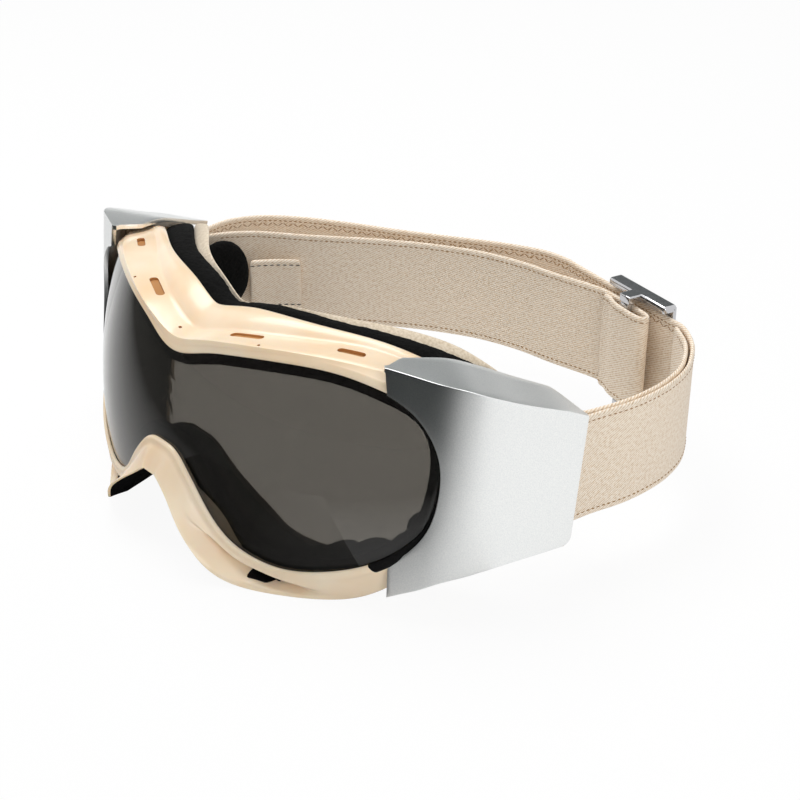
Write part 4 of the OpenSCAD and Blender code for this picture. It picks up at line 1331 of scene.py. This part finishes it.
def card(name, at, size, aim, colour, fading):
    """A flat matt card that only reflections see."""
    turn = (Vector(aim) - Vector(at)).to_track_quat("Z", "Y").to_matrix().to_4x4()
    made = flat_sheet(name, 0.5, Matrix.Translation(at) @ turn @ Matrix.Diagonal((size[0], size[1], 1, 1)))
    matt = {"Base Color": colour, "Roughness": 1.0, "Specular IOR Level": 0.0}
    paint, tree, shader = new_material(name + "_paint", matt)
    if fading:
        near, fade, axis, pale = fading
        place = add_node(tree, "ShaderNodeTexCoord").outputs["Object"]
        parts = add_node(tree, "ShaderNodeSeparateXYZ", None, {"Vector": place})
        span = {"From Min": near, "From Max": near - fade}
        share = add_node(tree, "ShaderNodeMapRange", span, {"Value": parts.outputs[axis]})
        wire(tree, shader, tone=(share.outputs[0], (0.0, pale), (1.0, colour)))
    made.data.materials.append(paint)
    made.visible_camera = False
    made.visible_diffuse = False
    made.visible_transmission = False
    made.visible_shadow = False


def aimed(name, data, at, aim):
    """A light or camera in the scene, turned to what it faces."""
    made = bpy.data.objects.new(name, data)
    made.location = at
    made.rotation_mode = "QUATERNION"
    made.rotation_quaternion = (aim - at).to_track_quat("-Z", "Y")
    bpy.context.scene.collection.objects.link(made)
    return made


def lamp(name, at, size, power):
    """A soft rectangular light that faces the goggles."""
    data = bpy.data.lights.new(name, "AREA")
    data.shape = "RECTANGLE"
    data.size, data.size_y = size
    data.energy = power
    aimed(name, data, Vector(at), STUDIO_MIDDLE)


def seen_rays(tree):
    """One for the rays by which the camera, a reflection or clear glass sees the background, and zero for light."""
    rays = add_node(tree, "ShaderNodeLightPath").outputs
    both = {0: rays["Is Camera Ray"], 1: rays["Is Glossy Ray"]}
    seen = add_node(tree, "ShaderNodeMath", {"operation": "ADD"}, both).outputs[0]
    return add_node(tree, "ShaderNodeMath", {"operation": "ADD"}, {0: seen, 1: rays["Is Transmission Ray"]}).outputs[0]


def paper_floor():
    """White paper that shows nearly white and keeps a faint shadow of the goggles."""
    floor = flat_sheet("floor", FLOOR_SIZE)
    floor.location.z = -0.0002
    paper, tree, shader = new_material("white_paper", {"Base Color": "#F4F4F4", "Roughness": 0.9})
    partly = {"operation": "MULTIPLY", "use_clamp": True, 1: FLOOR_WHITE}
    shown = add_node(tree, "ShaderNodeMath", partly, {0: seen_rays(tree)})
    glow = add_node(tree, "ShaderNodeEmission", {"Strength": 1.0, "Color": (1, 1, 1, 1)})
    mixed = {0: shown.outputs[0], 1: shader.outputs[0], 2: glow.outputs[0]}
    mix = add_node(tree, "ShaderNodeMixShader", None, mixed)
    out = next(n for n in tree.nodes if n.type == "OUTPUT_MATERIAL")
    tree.links.new(mix.outputs[0], out.inputs["Surface"])
    floor.data.materials.append(paper)


def studio_world():
    """White to the eye, and a weaker even light on the goggles."""
    world = bpy.data.worlds.new("studio")
    world.use_nodes = True
    tree = world.node_tree
    tree.nodes.clear()
    soft = add_node(tree, "ShaderNodeBackground", {"Color": (1, 1, 1, 1), "Strength": WORLD_LIGHT})
    white = add_node(tree, "ShaderNodeBackground", {"Color": (1, 1, 1, 1), "Strength": 1.0})
    mixed = {0: seen_rays(tree), 1: soft.outputs[0], 2: white.outputs[0]}
    mix = add_node(tree, "ShaderNodeMixShader", None, mixed)
    add_node(tree, "ShaderNodeOutputWorld", None, {"Surface": mix.outputs[0]})
    return world


class GOGGLES_OT_stage(bpy.types.Operator):
    """White floor, soft lights and the photograph's camera"""

    bl_idname = "goggles.stage"
    bl_label = "Stage"

    def execute(self, context):
        looks = context.scene.goggles_looks
        scene = context.scene
        paper_floor()
        scene.world = studio_world()
        scene.view_settings.view_transform = "Standard"
        lamp("key", (-0.3, 0.0, 0.9), (0.7, 0.6), looks.key_power)
        lamp("fill", (0.8, -0.25, 0.4), (0.4, 0.4), looks.fill_power)
        for name, values in CARDS.items():
            card(name, *values)
        data = bpy.data.cameras.new("camera")
        data.lens = CAMERA_LENS
        data.sensor_width = CAMERA_SENSOR
        data.clip_start, data.clip_end = 0.01, 20.0
        scene.camera = aimed("camera", data, CAMERA_AT * MM, CAMERA_TARGET * MM)
        return {"FINISHED"}


STEPS = ["frame", "lenses", "foam", "pads", "tabs", "plates", "strap", "adjuster", "small_parts", "stage"]


class GOGGLES_PT_panel(bpy.types.Panel):
    """The goggles' sizes and lights, and a button for each group of pieces"""

    bl_idname = "GOGGLES_PT_panel"
    bl_label = "Goggles"
    bl_space_type = "VIEW_3D"
    bl_region_type = "UI"
    bl_category = "Goggles"

    def draw(self, context):
        looks = context.scene.goggles_looks
        for name in looks.bl_rna.properties.keys():
            if name not in ("rna_type", "name"):
                self.layout.prop(looks, name)
        for step in STEPS:
            self.layout.operator(f"goggles.{step}")


CLASSES = [
    GogglesLooks,
    GOGGLES_OT_frame,
    GOGGLES_OT_lenses,
    GOGGLES_OT_foam,
    GOGGLES_OT_pads,
    GOGGLES_OT_tabs,
    GOGGLES_OT_plates,
    GOGGLES_OT_strap,
    GOGGLES_OT_adjuster,
    GOGGLES_OT_small_parts,
    GOGGLES_OT_stage,
    GOGGLES_PT_panel,
]


def register():
    for entry in CLASSES:
        bpy.utils.register_class(entry)
    bpy.types.Scene.goggles_looks = PointerProperty(type=GogglesLooks)


def unregister():
    del bpy.types.Scene.goggles_looks
    for entry in reversed(CLASSES):
        bpy.utils.unregister_class(entry)


def main():
    register()
    for step in STEPS:
        getattr(bpy.ops.goggles, step)()


if __name__ == "__main__":
    main()
